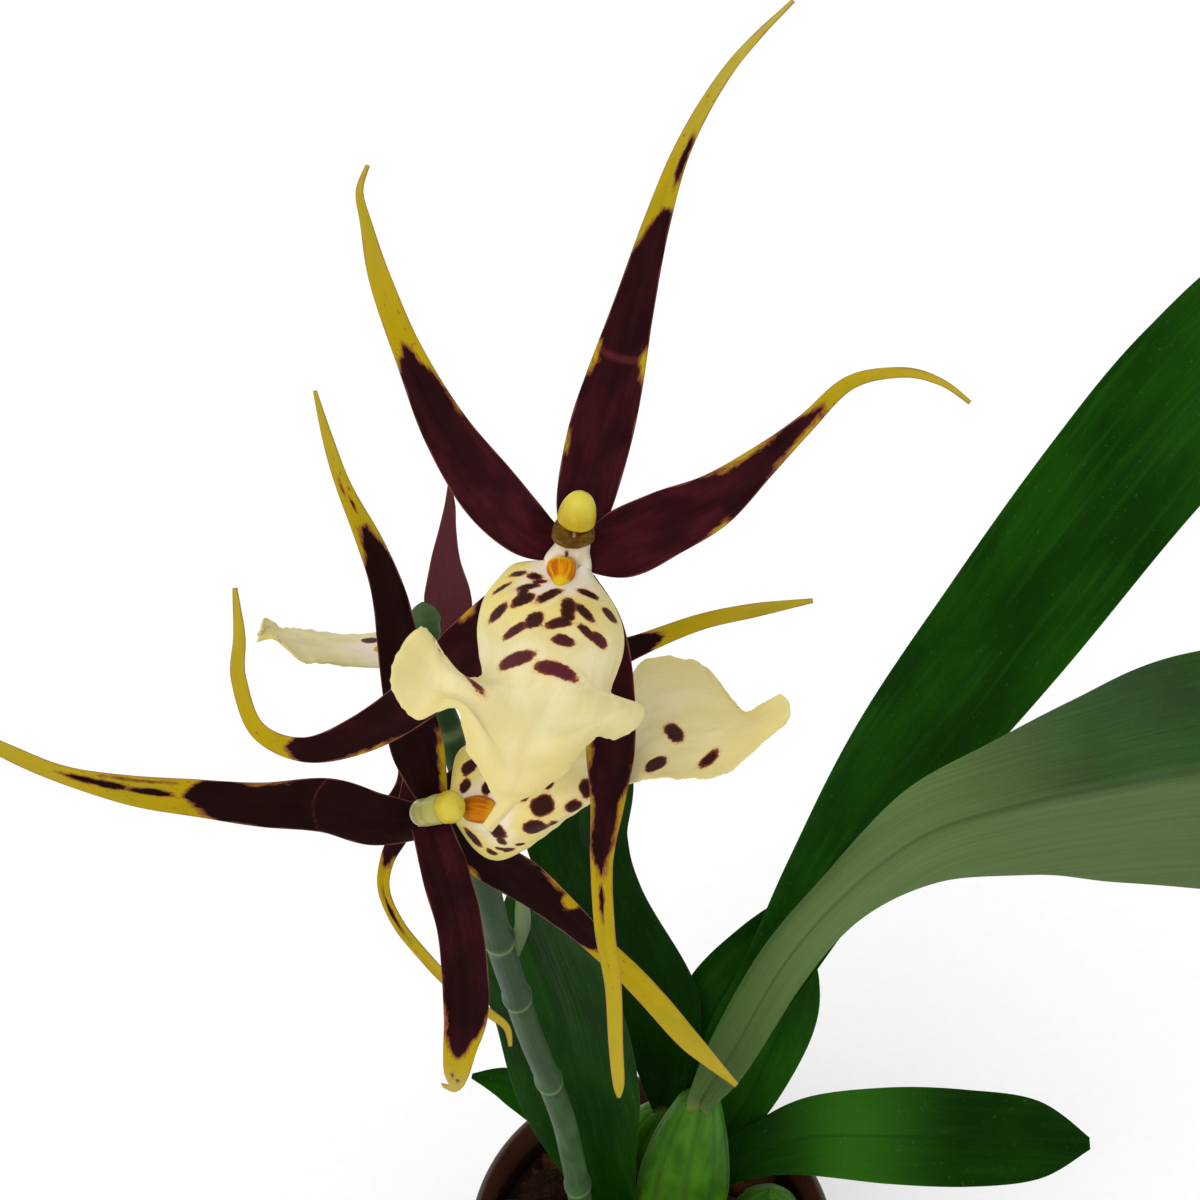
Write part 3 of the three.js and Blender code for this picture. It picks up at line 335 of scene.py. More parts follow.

# A flower's centre is [x, y, z] on the plant, and all the rest is in the flower's own plane: x to
# the right, y up and z out of its face. Tepal rows are [x, y, z, width] and ovary rows [x, y, z,
# radius]. Column, callus and wing rows are [x, y, z, half width, half depth]. Feet of a column are
# [direction in degrees, share of the radius added], and its olive collar starts at a share of its
# length. The dark pit under a column is painted shade in its hollow, as [x, y, half width, half
# height, least z]. A lip's yellow shoulders end at a share of its length, and `spot_brownness` is
# how brown its spots are.
FLOWERS = {
    "front": {
        "centre": [-24.7, -105.1, 491.6],
        "tepals": {
            "dorsal_sepal": [
                [1, 2, -3, 5], [2, 9.5, -3.5, 9.5], [4.5, 20.5, -4, 11], [7, 30, -4, 10],
                [10.3, 42.5, -3, 7.1], [14.1, 56, 0, 4.6], [18.6, 68, 4, 2.8], [25.9, 79.4, 8, 1.8],
                [35.5, 89, 10, 0.7],
            ],
            "left_petal": [
                [-2.8, 2.5, -1.6, 5.6], [-7.8, 5.3, 0.6, 9.2], [-14.2, 12, -1, 10.4],
                [-21.4, 22.4, -2, 8], [-27.4, 34.9, -1, 5], [-31.5, 46, 2, 3.8], [-33.6, 55, 4, 2],
                [-34.5, 60, 5, 1.3], [-33, 64, 6, 0.7],
            ],
            "right_petal": [
                [2.3, 1.2, -1, 6.6], [8.3, 2.7, -1, 11.5], [15.5, 6.1, -1, 11.2],
                [23.5, 9.9, -1, 9.2], [31.2, 16, 0, 5.8], [38.4, 22.3, 2, 3.3],
                [45.5, 28.9, 4, 2.4], [53.5, 30.3, 6, 1.7], [59.5, 28.5, 8, 1.2], [64, 25, 9, 0.7],
            ],
            "left_lateral_sepal": [
                [-3.5, -2, -3.5, 5], [-10, -7.5, -8, 9], [-18.5, -15.5, -10, 10],
                [-27.5, -24, -11, 8.5], [-37, -30, -11, 6.8], [-46.5, -32.6, -10, 4.4],
                [-54.6, -29.3, -10, 3], [-58.3, -20.5, -11, 2.7], [-58.5, -13, -12, 2.2],
                [-59.5, -4.5, -13, 0.8],
            ],
            "right_lateral_sepal": [
                [1.5, -3.5, -3.5, 5], [5.4, -11, -7, 6.4], [6.6, -20.5, -8, 7.8],
                [6.5, -32, -8.5, 8.5], [6, -41.5, -9, 6], [5, -52, -10, 4], [5.5, -64, -12, 3.6],
                [7, -74.5, -14, 3], [7.5, -85.5, -15, 2.6], [8, -92.5, -16, 2.1],
                [8.1, -95.3, -16.3, 0.6],
            ],
        },
        "lip": FRONT_LIP,
        "shoulder_end": 0.3,
        "spot_brownness": 0.0,
        "callus": [
            [-1.6, 0.2, 3.4, 1.9, 1.2], [-1.6, -1.3, 4.4, 2.4, 1.6], [-1.5, -2.7, 5.6, 2, 1.5],
            [-1.7, -3.8, 7.2, 1.1, 0.9], [-1.8, -4.5, 8, 0.5, 0.4],
        ],
        "column": [
            [0.2, 2.6, -0.2, 2.9, 2.9], [0.25, 2.9, 3.5, 2.8, 2.6], [0.35, 4.2, 6.5, 3.3, 2.7],
            [0.55, 5.5, 9.2, 3.1, 2.6],
        ],
        "greenness": 0.15,
        "collar_start": 0.66,
        "feet": [[-64, 0.95], [-145, 1]],
        "wings": [
            [[-0.9, 3.6, 8.2, 1.5, 1.3], [-1.3, 3.9, 10.2, 1.5, 1.35], [-1.5, 4.2, 12.2, 1.1, 1.1]],
            [[2.0, 3.4, 7.8, 1.3, 1.1], [2.4, 3.3, 9.8, 1.25, 1.1], [2.6, 3.4, 11.4, 0.9, 0.9]],
        ],
        "pit": [-0.75, 0.9, 0.35, 0.65, 2],
        "cap": {"base": [0.9, 6.3, 9.95], "axis": [0.2, 0.78, 0.62], "radius": 3.1, "height": 5.3},
        "ovary": [
            [0, 0, -4.6, 2.4], [-4, -3.5, -12, 1.8], [-11, -9.5, -24, 1.6], [-21, -15, -38, 1.5],
            [-27.8, -18.2, -48.5, 1.4],
        ],
    },
    "lower": {
        "centre": [-53.5, -104.1, 432.6],
        "tepals": {
            "dorsal_sepal": [
                [-1.3, -1.4, 0.1, 7.2], [-8.5, 0.6, 8, 10], [-16, 4, 14, 10], [-26, 5, 20, 8],
                [-36.5, 7, 26, 6.5], [-47, 9, 30, 5], [-57, 12, 33, 3], [-67, 16.5, 34, 2.5],
                [-78.5, 22.5, 34, 0.8],
            ],
            "right_petal": [
                [1.7, 3.6, 1.8, 5.8], [-0.5, 13, 6, 10], [-2, 22.5, 9, 9], [-3.3, 33, 12, 7.8],
                [-4.8, 43, 15, 6.1], [-7.8, 52, 18, 4.6], [-11.6, 61, 21, 2.8], [-14, 69, 23, 2],
                [-16, 77.5, 25, 0.7],
            ],
            "left_petal": [
                [1.2, -1.2, 1.7, 7.4], [4.8, -10.5, 6, 9], [7.5, -18, 10, 8.5], [9, -26, 14, 8.5],
                [9.5, -33, 17, 8], [8.5, -39, 18, 6], [7.5, -44.5, 15, 4.5], [6.5, -49, 9, 2],
                [4, -50, 5, 0.8],
            ],
            "left_lateral_sepal": [
                [3.2, -2.4, 0, 6], [11, -8.8, -4, 8.2], [18.3, -14, -8, 8.4], [27, -21.9, -12, 6.2],
                [34.5, -30, -16, 4.8], [42.5, -38.5, -19, 5], [52, -50, -22, 4.5],
                [62, -60, -24, 1],
            ],
            "right_lateral_sepal": [
                [3.2, 3, 0, 6], [12.5, 10, -12, 9], [22, 19.5, -20, 9], [32.5, 27.5, -26, 7],
                [43, 32, -30, 4.5], [55, 36.5, -30, 3.5], [66.5, 39, -29, 3], [78.5, 41, -28, 1],
            ],
        },
        "lip": LOWER_LIP,
        "shoulder_end": 0.5,
        "spot_brownness": 0.9,
        "callus": [
            [8.2, 2.3, 7.8, 2, 1.3], [10.4, 2.5, 9.3, 2.5, 1.7], [12.6, 2.5, 10.7, 2.4, 1.6],
            [14.4, 2.4, 11.8, 1.5, 1.1], [15.2, 2.4, 12.3, 0.6, 0.5],
        ],
        "column": [
            [0, 1, 3.5, 2.6, 2.6], [1.7, 1.7, 7, 2.7, 2.7], [3.4, 2.5, 9.6, 2.8, 2.8],
            [5.2, 3, 11, 2.7, 2.7],
        ],
        "greenness": 0.95,
        "collar_start": 1.2,
        "feet": [[35, 0.3], [-35, 0.3]],
        "cap": {"base": [5.7, 3.2, 11.7], "axis": [0.62, 0.1, 0.78], "radius": 3.1, "height": 3.4},
        "ovary": [
            [-0.5, 0, -2, 2.4], [0, -1, -9, 1.8], [1.4, -1, -16, 1.6], [3, 0.5, -20.5, 1.5],
            [3.8, 1.8, -23.6, 1.4],
        ],
    },
    "back": {
        "centre": [-59.6, -60.4, 439.2],
        "tepals": {
            "dorsal_sepal": [
                [3.5, 0.5, -2, 5], [9.5, -1.5, -8, 7.5], [16, -3.5, -16, 7.5], [23.5, -5, -26, 7],
                [30.5, -7.5, -36, 6], [37, -10.5, -46, 3.5], [40.5, -13.5, -52, 1],
            ],
            "right_petal": [
                [4, 3.5, -1, 5.5], [7, 7.5, 1, 9.6], [7.2, 12, 2, 9.9], [6.9, 19, 3, 6.4],
                [7.4, 25.5, 4, 3.8], [8, 30.5, 5, 2.4], [8, 34.8, 6, 0.8],
            ],
            "left_petal": [
                [1.5, -4.5, 3, 5.5], [2.5, -16.5, 6, 6.5], [1.5, -28, 8, 6.5], [-2, -37.5, 8, 4.5],
                [-5, -44, 7, 3], [-5.5, -50.5, 7, 2.5], [-2, -58, 7, 2.5], [4, -65.5, 6, 2.5],
                [10.5, -72, 6, 2.4], [16.5, -76.2, 6, 2], [20, -79, 6, 1.5], [20.8, -83, 6, 0.8],
            ],
            "right_lateral_sepal": [
                [-3, 3.5, -1, 5], [-6.5, 10, -8, 6], [-10.5, 17, -18, 5.5], [-15, 23.5, -28, 4],
                [-19.5, 30, -38, 2.5], [-22, 35, -46, 1],
            ],
            "left_lateral_sepal": [
                [-1.5, -4, -2, 4.5], [-2, -12, -4, 6], [-1.5, -21.5, -6, 6], [-2.5, -30.5, -8, 6],
                [-8, -36.5, -9, 6], [-19, -36, -10, 6], [-31, -34.5, -10, 4.5], [-43, -34, -9, 2],
                [-50.5, -33.5, -8, 1],
            ],
        },
        "lip": BACK_LIP,
        "shoulder_end": 0.3,
        "spot_brownness": 0.5,
        "callus": [
            [-4, -0.3, 2, 1.2, 0.8], [-5.5, -0.2, 3.4, 1.6, 1.1], [-7, -0.1, 4.6, 1.3, 0.9],
            [-8, 0, 5.4, 0.6, 0.5],
        ],
        "column": [
            [0, 3, 0.5, 2.2, 2.2], [-1, 4.5, 3, 2.3, 2.3], [-2.4, 7, 4.6, 2.4, 2.4],
            [-3.4, 9.5, 5.2, 2.3, 2.3],
        ],
        "greenness": 0.95,
        "collar_start": 0.8,
        "feet": [[145, 0.4], [-145, 0.4]],
        "cap": {"base": [-3.7, 10.3, 5.4], "axis": [-0.25, 0.95, 0.2], "radius": 2.4, "height": 4.4},
        "ovary": [
            [0.5, -2.5, -4.5, 2], [3.5, -8, -3.5, 1.8], [7, -13, 0.5, 1.6], [8.2, -16.5, 3.6, 1.4],
        ],
    },
}

# An anther cap is a stem through these latitudes of an egg, in degrees from its widest ring.
CAP_LATITUDES = (-14, -6, 6, 20, 36, 54, 70, 82, 88)

# ---- Markings --------------------------------------------------------------------------------------
# A sepal or petal is maroon up to `end`, a share of its length, and yellow beyond. The border
# reaches `point` mm further in the middle and `lean` mm further on the right-hand edge. Notches of
# the yellow margin are [share, side, half length, depth], and dashes of maroon in the yellow tail
# are [share, across from -1 to 1, half length, half width]. Arcs are faint creases across the blade,
# shown only as a lighter painted highlight along each, as [share, bow, half width]. `fade` is how
# pale the tip of the tail is, where it isn't the usual fade, `pallor` how washed out the maroon is,
# and `dusk` how much painted shade darkens it.
USUAL_FADE = 0.4
MARKINGS = {
    "front_dorsal_sepal": {
        "end": 0.575, "point": 4, "lean": 4.5, "dusk": 0.3, "fade": 1.0,
        "notches": [[0.33, -1, 3.2, 1.3], [0.335, 1, 3.6, 1.1], [0.18, -1, 2.2, 0.9]],
        "dashes": [[0.69, 0.55, 3.4, 0.45]],
        "arcs": [[0.34, 0.7, 1]],
    },
    "front_left_petal": {
        "end": 0.545, "point": 6.5, "lean": -2.5, "dusk": 0.05,
        "notches": [[0.42, 1, 2.5, 0.5]],
    },
    "front_right_petal": {
        "end": 0.61, "point": 4, "lean": 1, "dusk": 0.05,
        "notches": [[0.44, -1, 7, 1.2], [0.3, 1, 1.9, 0.8], [0.56, 1, 8, 0.9]],
    },
    "front_left_lateral_sepal": {
        "end": 0.64, "point": 2, "lean": 0.6, "dusk": 0.3,
        "notches": [[0.185, 1, 2.2, 1.1], [0.5, -1, 4, 0.5]],
    },
    "front_right_lateral_sepal": {
        "end": 0.52, "point": 7.5, "lean": 1.2, "dusk": 0.3,
        "notches": [[0.31, 1, 4.2, 1.2], [0.44, -1, 6, 0.8], [0.45, 1, 5, 0.6]],
        "dashes": [[0.61, 0.1, 2.6, 0.42]],
    },
    "lower_dorsal_sepal": {
        "end": 0.49, "point": 4.6, "lean": 1.6, "dusk": 0.85,
        "notches": [[0.36, 1, 4, 0.5]],
        "dashes": [
            [0.573, 0.08, 3.4, 0.5], [0.648, 0.1, 2.4, 0.6], [0.7, 0.1, 3, 0.42],
            [0.59, 0.72, 2.4, 0.16],
        ],
        "arcs": [[0.262, -1.6, 0.35]],
    },
    "lower_right_petal": {
        "end": 0.64, "point": 7, "lean": 0.8, "dusk": 0.85,
        "notches": [[0.08, 1, 8, 1.4], [0.3, 1, 6, 0.6]],
        "dashes": [[0.78, -0.3, 0.7, 0.12], [0.74, 0.1, 0.6, 0.1]],
    },
    "lower_left_petal": {
        "end": 0.67, "point": 6, "lean": 1.6, "dusk": 0.35,
        "notches": [[0.58, 1, 4, 0.5]],
        "dashes": [[0.83, -0.2, 0.5, 0.2], [0.8, 0.25, 0.5, 0.15]],
    },
    "lower_left_lateral_sepal": {
        "end": 0.49, "point": 5, "dusk": 0.85,
        "notches": [[0.3, -1, 5, 0.7], [0.36, -1, 2.2, 2.4], [0.12, 1, 2.5, 1.2]],
    },
    "lower_right_lateral_sepal": {"end": 0.64, "point": 4, "dusk": 0.85},
    "back_dorsal_sepal": {
        "end": 0.6, "point": 10, "dusk": 0.2,
        "notches": [[0.45, -1, 9, 1], [0.5, 1, 8, 0.8]],
    },
    "back_right_petal": {"end": 1.1, "point": 2, "dusk": 0.2, "pallor": 0.75},
    "back_left_petal": {"end": 0.45, "point": 4, "dusk": 0.2, "dashes": [[0.58, 0.1, 3.5, 0.35]]},
    "back_right_lateral_sepal": {"end": 0.6, "point": 4, "dusk": 0.2},
    "back_left_lateral_sepal": {
        "end": 0.62, "point": 4, "dusk": 0.2,
        "dashes": [[0.7, 0, 2.2, 0.3]],
    },
}

# A lip's maroon spots are [share along, share across, half length mm, half width mm, turn]. The
# turn is in degrees, from the lip's own length towards its right-hand edge.
LIP_SPOTS = {
    "front": [
        [0.188, 0.281, 2.1, 1.0, 114], [0.128, 0.229, 1.5, 0.5, 157], [0.084, 0.198, 1.5, 0.5, 143],
        [0.069, 0.286, 1.4, 0.6, 101], [0.106, 0.333, 1.8, 0.7, 122], [0.144, 0.365, 1.9, 1.2, 112],
        [0.119, 0.443, 2.4, 0.9, 150], [0.197, 0.427, 1.7, 1.3, 0], [0.234, 0.365, 2.0, 1.0, 105],
        [0.306, 0.370, 3.3, 1.2, 79], [0.322, 0.505, 3.0, 1.1, 73], [0.487, 0.250, 2.2, 0.3, 78],
        [0.247, 0.526, 1.6, 1.1, 55], [0.153, 0.531, 2.2, 0.9, 0], [0.197, 0.510, 2.0, 0.9, 115],
        [0.172, 0.609, 2.0, 0.8, 33], [0.184, 0.740, 1.5, 1.2, 19], [0.225, 0.609, 1.7, 0.7, 38],
        [0.253, 0.656, 1.4, 1.2, 60], [0.106, 0.646, 1.7, 0.8, 86],
        [0.178, 0.537, 1.2, 0.7, 20], [0.125, 0.342, 1.0, 0.6, 20], [0.08, 0.35, 1.1, 0.35, 115],
    ],
    "lower": [
        [0.091, 0.885, 1.7, 1.2, -28], [0.05, 0.815, 1.3, 1.1, 2], [0.097, 0.703, 1.3, 1.0, 76],
        [0.128, 0.79, 0.9, 0.6, -69], [0.15, 0.6, 0.8, 0.5, 52], [0.228, 0.578, 1.2, 0.8, 0],
        [0.278, 0.490, 2.3, 1.4, 0], [0.275, 0.344, 2.2, 1.5, 0], [0.294, 0.6, 0.8, 0.5, -20],
        [0.075, 0.125, 2.2, 0.9, -15], [0.138, 0.328, 2.3, 1.1, 32], [0.175, 0.27, 1.3, 0.7, 60],
        [0.159, 0.120, 1.2, 0.8, 81], [0.19, 0.19, 0.9, 0.5, 10], [0.216, 0.167, 1.4, 0.7, 36],
        [0.245, 0.21, 0.9, 0.6, 80], [0.391, 0.479, 1.4, 0.8, 73], [0.372, 0.375, 1.5, 0.9, 3],
        [0.33, 0.3, 0.9, 0.5, 50],
        [0.597, 0.510, 2.6, 1.1, -75], [0.572, 0.240, 1.9, 1.5, 15], [0.697, 0.229, 2.2, 0.6, 45],
    ],
    "back": [
        [0.212, 0.312, 1.6, 1.4, 0], [0.12, 0.55, 1.3, 0.9, 30], [0.1, 0.8, 1.4, 0.9, 60],
    ],
}
# Fold lines of a lip are [start along, start across, end along, end across, height, half width].
LIP_FOLDS = {
    "front": [
        [0.33, 0.58, 0.44, 0.8, 0.4, 0.9], [0.49, 0.87, 0.62, 0.97, -0.5, 0.8],
        [0.5, 0.1, 0.61, 0.215, 0.4, 0.8],
    ],
    "lower": [[0.45, 0.5, 0.72, 0.5, 0.35, 0.9]],
    "back": [],
}

# ---- Curves and sheets -----------------------------------------------------------------------------
def unit(vectors):
    """Vectors made one long."""
    return vectors / np.linalg.norm(vectors, axis=-1, keepdims=True)


def smooth_rows(rows, shares):
    """Rows of numbers run through smoothly: one entry for each share (0 to 1) of the way."""
    rows = np.asarray(rows, float)
    last = len(rows) - 1
    place = np.clip(shares, 0, 1) * last
    k = np.minimum(place.astype(int), last - 1)
    f = (place - k).reshape(-1, *([1] * (rows.ndim - 1)))
    before, start, end, after = (rows[np.clip(k + step, 0, last)] for step in (-1, 0, 1, 2))
    slope_in = (end - before) / 2
    slope_out = (after - start) / 2
    rise = end - start
    square = 3 * rise - 2 * slope_in - slope_out
    cube = slope_in + slope_out - 2 * rise
    return start + f * (slope_in + f * (square + f * cube))


def run_length(points):
    """How far along a line each of its points lies."""
    steps = np.linalg.norm(np.diff(points, axis=0), axis=1)
    return np.concatenate([[0], np.cumsum(steps)])


def even_shares(rows, count):
    """Shares that lie evenly along the length of the rows, and that length."""
    fine_steps = 1000
    fine = np.linspace(0, 1, fine_steps)
    run = run_length(smooth_rows(rows, fine)[:, :3])
    return np.interp(np.linspace(0, run[-1], count), run, fine), run[-1]


def waves(place, count, longest, shortest, seed):
    """A smooth uneven wave, about -1 to 1, made of `count` sines between two wavelengths."""
    dice = random.Random(seed)
    total = np.zeros_like(place)
    for _ in range(count):
        length = dice.uniform(shortest, longest)
        total = total + np.sin(2 * math.pi * (place / length + dice.random()))
    return total / math.sqrt(count)


def bell(distance, reach):
    """A smooth bump: 1 at distance 0 and nearly nothing beyond `reach`."""
    return np.exp(-(2 * np.asarray(distance) / reach) ** 2 / 2)


def smooth_step(value, start, end):
    """0 before start, 1 beyond end, smooth between."""
    share = np.clip((np.asarray(value) - start) / (end - start), 0, 1)
    return share * share * (3 - 2 * share)


# ---- Closed solids: points in mm, faces, and marks that the materials read -------------------------
def quads(index):
    """The faces of a grid of point numbers."""
    corners = (index[:-1, :-1], index[1:, :-1], index[1:, 1:], index[:-1, 1:])
    return np.stack([corner.ravel() for corner in corners], axis=1).tolist()


def closed_sheet(grid, half, marks, front_sign=1):
    """A thin solid round a grid of points: two skins that share its side edges. The half thickness
    is nothing at both side edges. The mark `face` is 1 on the front and -1 on the back, and
    `front_sign` is -1 where the front lies against the sheet's own normal."""
    rows, columns = grid.shape[:2]
    normal = unit(np.cross(np.gradient(grid, axis=0), np.gradient(grid, axis=1)))
    reach = normal * half[..., None]
    front = np.arange(rows * columns).reshape(rows, columns)
    back = front.copy()
    back[:, 1:-1] = rows * columns + np.arange(rows * (columns - 2)).reshape(rows, -1)
    inner = (grid - reach)[:, 1:-1].reshape(-1, 3)
    points = np.concatenate([(grid + reach).reshape(-1, 3), inner])
    faces = quads(front) + [face[::-1] for face in quads(back)]
    for row, order in ((0, 1), (rows - 1, -1)):
        for j in range(columns - 1):
            corners = [front[row, j], front[row, j + 1], back[row, j + 1], back[row, j]]
            faces.append(list(dict.fromkeys(corners))[::order])
    marks = {**marks, "face": np.full((rows, columns), float(front_sign))}
    both = {}
    for name, values in marks.items():
        sign = -1 if name == "face" else 1
        hidden = sign * values[:, 1:-1]
        depth = values.shape[2:]
        both[name] = np.concatenate([values.reshape(-1, *depth), hidden.reshape(-1, *depth)])
    return points, faces, both


def closed_rings(rings, marks):
    """A solid through a run of rings, with a middle point closing each end."""
    count, sides = rings.shape[:2]
    index = np.arange(count * sides).reshape(count, sides)
    looped = np.concatenate([index, index[:, :1]], axis=1)
    faces = [[a, d, c, b] for a, b, c, d in quads(looped)]
    first, last = count * sides, count * sides + 1
    for k in range(sides):
        faces.append([first, looped[0, k + 1], looped[0, k]])
        faces.append([last, looped[-1, k], looped[-1, k + 1]])

    def with_middles(values):
        ends = [values[0].mean(axis=0, keepdims=True), values[-1].mean(axis=0, keepdims=True)]
        return np.concatenate([values.reshape(count * sides, *values.shape[2:]), *ends])

    return with_middles(rings), faces, {name: with_middles(v) for name, v in marks.items()}


def joined(solids):
    """Several closed solids as the points, faces and marks of one mesh."""
    points = []
    faces = []
    marks = {name: [] for name in solids[0][2]}
    start = 0
    for some_points, some_faces, some_marks in solids:
        points.append(some_points)
        faces += [[start + corner for corner in face] for face in some_faces]
        for name, values in some_marks.items():
            marks[name].append(values)
        start += len(some_points)
    return np.concatenate(points), faces, {k: np.concatenate(v) for k, v in marks.items()}


def new_mesh(name, solid, material):
    """A smooth-shaded mesh in metres that carries the marks of its solid."""
    points, faces, marks = solid
    mesh = bpy.data.meshes.new(name)
    mesh.from_pydata((points * MM).tolist(), [], faces)
    for mark, values in marks.items():
        kind, field = ("FLOAT_VECTOR", "vector") if values.ndim == 2 else ("FLOAT", "value")
        layer = mesh.attributes.new(mark, kind, "POINT")
        layer.data.foreach_set(field, np.asarray(values, np.float32).ravel())
    mesh.shade_smooth()
    mesh.materials.append(material)
    return mesh


def show(mesh, node):
    """Puts a finished piece in the scene in place of its plain solid."""
    piece = bpy.data.objects.new(f"fine_{node}", mesh)
    bpy.context.scene.collection.objects.link(piece)
    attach(piece, "root")
    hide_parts(node)
    return piece


def add_piece(node, slot, solid):
    """A finished piece with the material of its slot."""
    return show(new_mesh(f"fine_{node}", solid, MATERIALS[slot]), node)


# ---- Materials -------------------------------------------------------------------------------------
# A grain's sizes are in mm on the real surface: [across, along, deep]. Reliefs are in mm too.
WHITE = "#ffffff"
# Raw noise keeps within about a quarter of its middle value, so this stretch brings it to 1.
NOISE_STRETCH = 4


def colour(code):
    """The linear colour of an sRGB hex code."""
    parts = [int(code[start:start + 2], 16) / 255 for start in (1, 3, 5)]
    linear = [p / 12.92 if p <= 0.04045 else ((p + 0.055) / 1.055) ** 2.4 for p in parts]
    return (*linear, 1.0)


def new_material(name):
    """A node material that has no nodes yet, and its tree."""
    material = bpy.data.materials.new(name)
    material.use_nodes = True
    material.node_tree.nodes.clear()
    return material, material.node_tree


def add(tree, kind, inputs=None, pick=0, stops=None, **settings):
    """Adds one shader node and gives back one of its outputs. Each entry of `inputs` is a link or a
    value for that socket, and `stops` are the places and colours of a colour ramp."""
    made = tree.nodes.new(f"ShaderNode{kind}")
    for name, value in settings.items():
        setattr(made, name, value)
    for name, value in (inputs or {}).items():
        if isinstance(value, bpy.types.NodeSocket):
            tree.links.new(value, made.inputs[name])
        else:
            made.inputs[name].default_value = value
    for k, (place, code) in enumerate(stops or []):
        elements = made.color_ramp.elements
        element = elements[k] if k < len(elements) else elements.new(place)
        element.position = place
        element.color = colour(code)
    return made.outputs[pick] if len(made.outputs) else None


def carried(tree, *marks):
    """What the meshes carry: their flat surface coordinates in mm, then each named mark."""
    strip = add(tree, "Attribute", pick="Vector", attribute_name="strip")
    return [strip] + [add(tree, "Attribute", pick="Fac", attribute_name=mark) for mark in marks]


def grain(tree, where, sizes, detail=3.0, spread=1.0):
    """Noise whose grains have these sizes in mm, as a value round 0 that reaches about `spread`."""
    scale = [1 / size for size in sizes]
    mapped = add(tree, "Mapping", {"Vector": where, "Scale": scale})
    raw = add(tree, "TexNoise", {"Vector": mapped, "Scale": 1.0, "Detail": detail})
    stretch = NOISE_STRETCH * spread
    return add(tree, "Math", {0: raw, 1: stretch, 2: -stretch / 2}, operation="MULTIPLY_ADD")


def summed(tree, start, *parts):
    """A start value and each part, a part being a value and its weight."""
    result = start
    for value, weight in parts:
        result = add(tree, "Math", {0: value, 1: weight, 2: result}, operation="MULTIPLY_ADD")
    return result


def over(tree, under, top, value, start=None, end=None, strength=1.0):
    """One colour laid over another: not at all where `value` is at start, and at full strength from
    end on. With no start, the value itself is how thick the colour lies, from 0 to 1."""
    kind = "LINEAR" if start is None else "SMOOTHSTEP"
    start, end = (0.0, 1.0) if start is None else (start, end)
    limits = {"Value": value, "From Min": start, "From Max": end, "To Max": strength}
    share = add(tree, "MapRange", limits, interpolation_type=kind)
    under, top = (colour(c) if isinstance(c, str) else c for c in (under, top))
    return add(tree, "Mix", {0: share, 6: under, 7: top}, 2, data_type="RGBA")


def finish(tree, skin, relief, roughness, ior, gloss, tint=None, glow=0.0, glow_reach=(1, 1, 1)):
    """Joins colour, relief and roughness in one shader. `tint` is how far the gloss takes on the
    skin's colour, and `glow` how much light goes through it, `glow_reach` mm in red, green, blue."""
    bump = add(tree, "Bump", {"Height": relief, "Distance": MM, "Strength": 1.0})
    inputs = {
        "Base Color": skin, "Roughness": roughness, "Normal": bump, "IOR": ior,
        "Specular IOR Level": gloss, "Subsurface Weight": glow, "Subsurface Scale": MM,
        "Subsurface Radius": glow_reach,
    }
    if tint is not None:
        shades = {0: tint, 6: colour(WHITE), 7: skin}
        inputs["Specular Tint"] = add(tree, "Mix", shades, 2, data_type="RGBA")
    add(tree, "OutputMaterial", {"Surface": add(tree, "BsdfPrincipled", inputs)})


def tepal_skin():
    """Sepals and petals: satin maroon with faint mauve clouds, long fine veins, a hairline tan rim,
    and a frayed rusty border to the yellow tail."""
    material, tree = new_material("tepal_skin")
    strip, maroon, tail, dusk, pallor, arc, face, rim = carried(
        tree, "maroon", "tail", "dusk", "pallor", "arc", "face", "rim")
    veins = grain(tree, strip, (0.42, 16, 1), detail=2.0)
    cells = grain(tree, strip, (0.16, 0.2, 1), detail=1.0)
    clouds = grain(tree, strip, (4, 9, 1), detail=2.0)
    freckles = grain(tree, strip, (0.5, 1.5, 1), detail=2.0)
    border_waves = grain(tree, strip, (1.3, 3.2, 1), spread=0.42)
    border_fray = grain(tree, strip, (0.3, 1.3, 1), spread=0.2)
    inside = summed(tree, maroon, (border_waves, 1), (border_fray, 1))
    nearness = {"Value": maroon, "From Min": -9, "From Max": -0.5}
    near_maroon = add(tree, "MapRange", nearness, interpolation_type="SMOOTHSTEP")

    yellow = over(tree, "#a58c0a", "#ab9c40", tail)
    yellow = over(tree, yellow, "#8f861c", clouds, -0.2, 0.9, 0.5)
    yellow = over(tree, yellow, "#8a5a1c", freckles, 0.62, 0.95, near_maroon)

    deep = over(tree, "#28090e", "#42131c", clouds, -0.6, 0.9)
    deep = over(tree, deep, "#1c060a", veins, -0.2, 1.1, 0.4)
    # Painted shade: the maroon deepens beyond each blade's base, and most on the lower flower.
    deep = over(tree, deep, "#170806", dusk)
    deep = over(tree, deep, "#5a2c33", pallor)
    # Painted highlight: a lighter streak along each faint crease.
    deep = over(tree, deep, "#64272f", arc, 1.1, 0.1, 0.45)
    deep = over(tree, deep, "#4b3a22", face, 0.1, -0.3, 0.45)

    skin = over(tree, yellow, "#7c4a26", inside, -0.75, -0.05)
    skin = over(tree, skin, deep, inside, -0.2, 0.28)
    skin = over(tree, skin, "#8e584a", rim, 0.24, 0.02, 0.55)
    relief = summed(tree, 0.0, (veins, 0.02), (cells, 0.006))
    roughness = summed(tree, 0.5, (clouds, 0.05), (cells, 0.04))
    finish(tree, skin, relief, roughness, ior=1.4, gloss=0.2, tint=0.85,
           glow=0.03, glow_reach=(1.0, 0.4, 0.2))
    return material


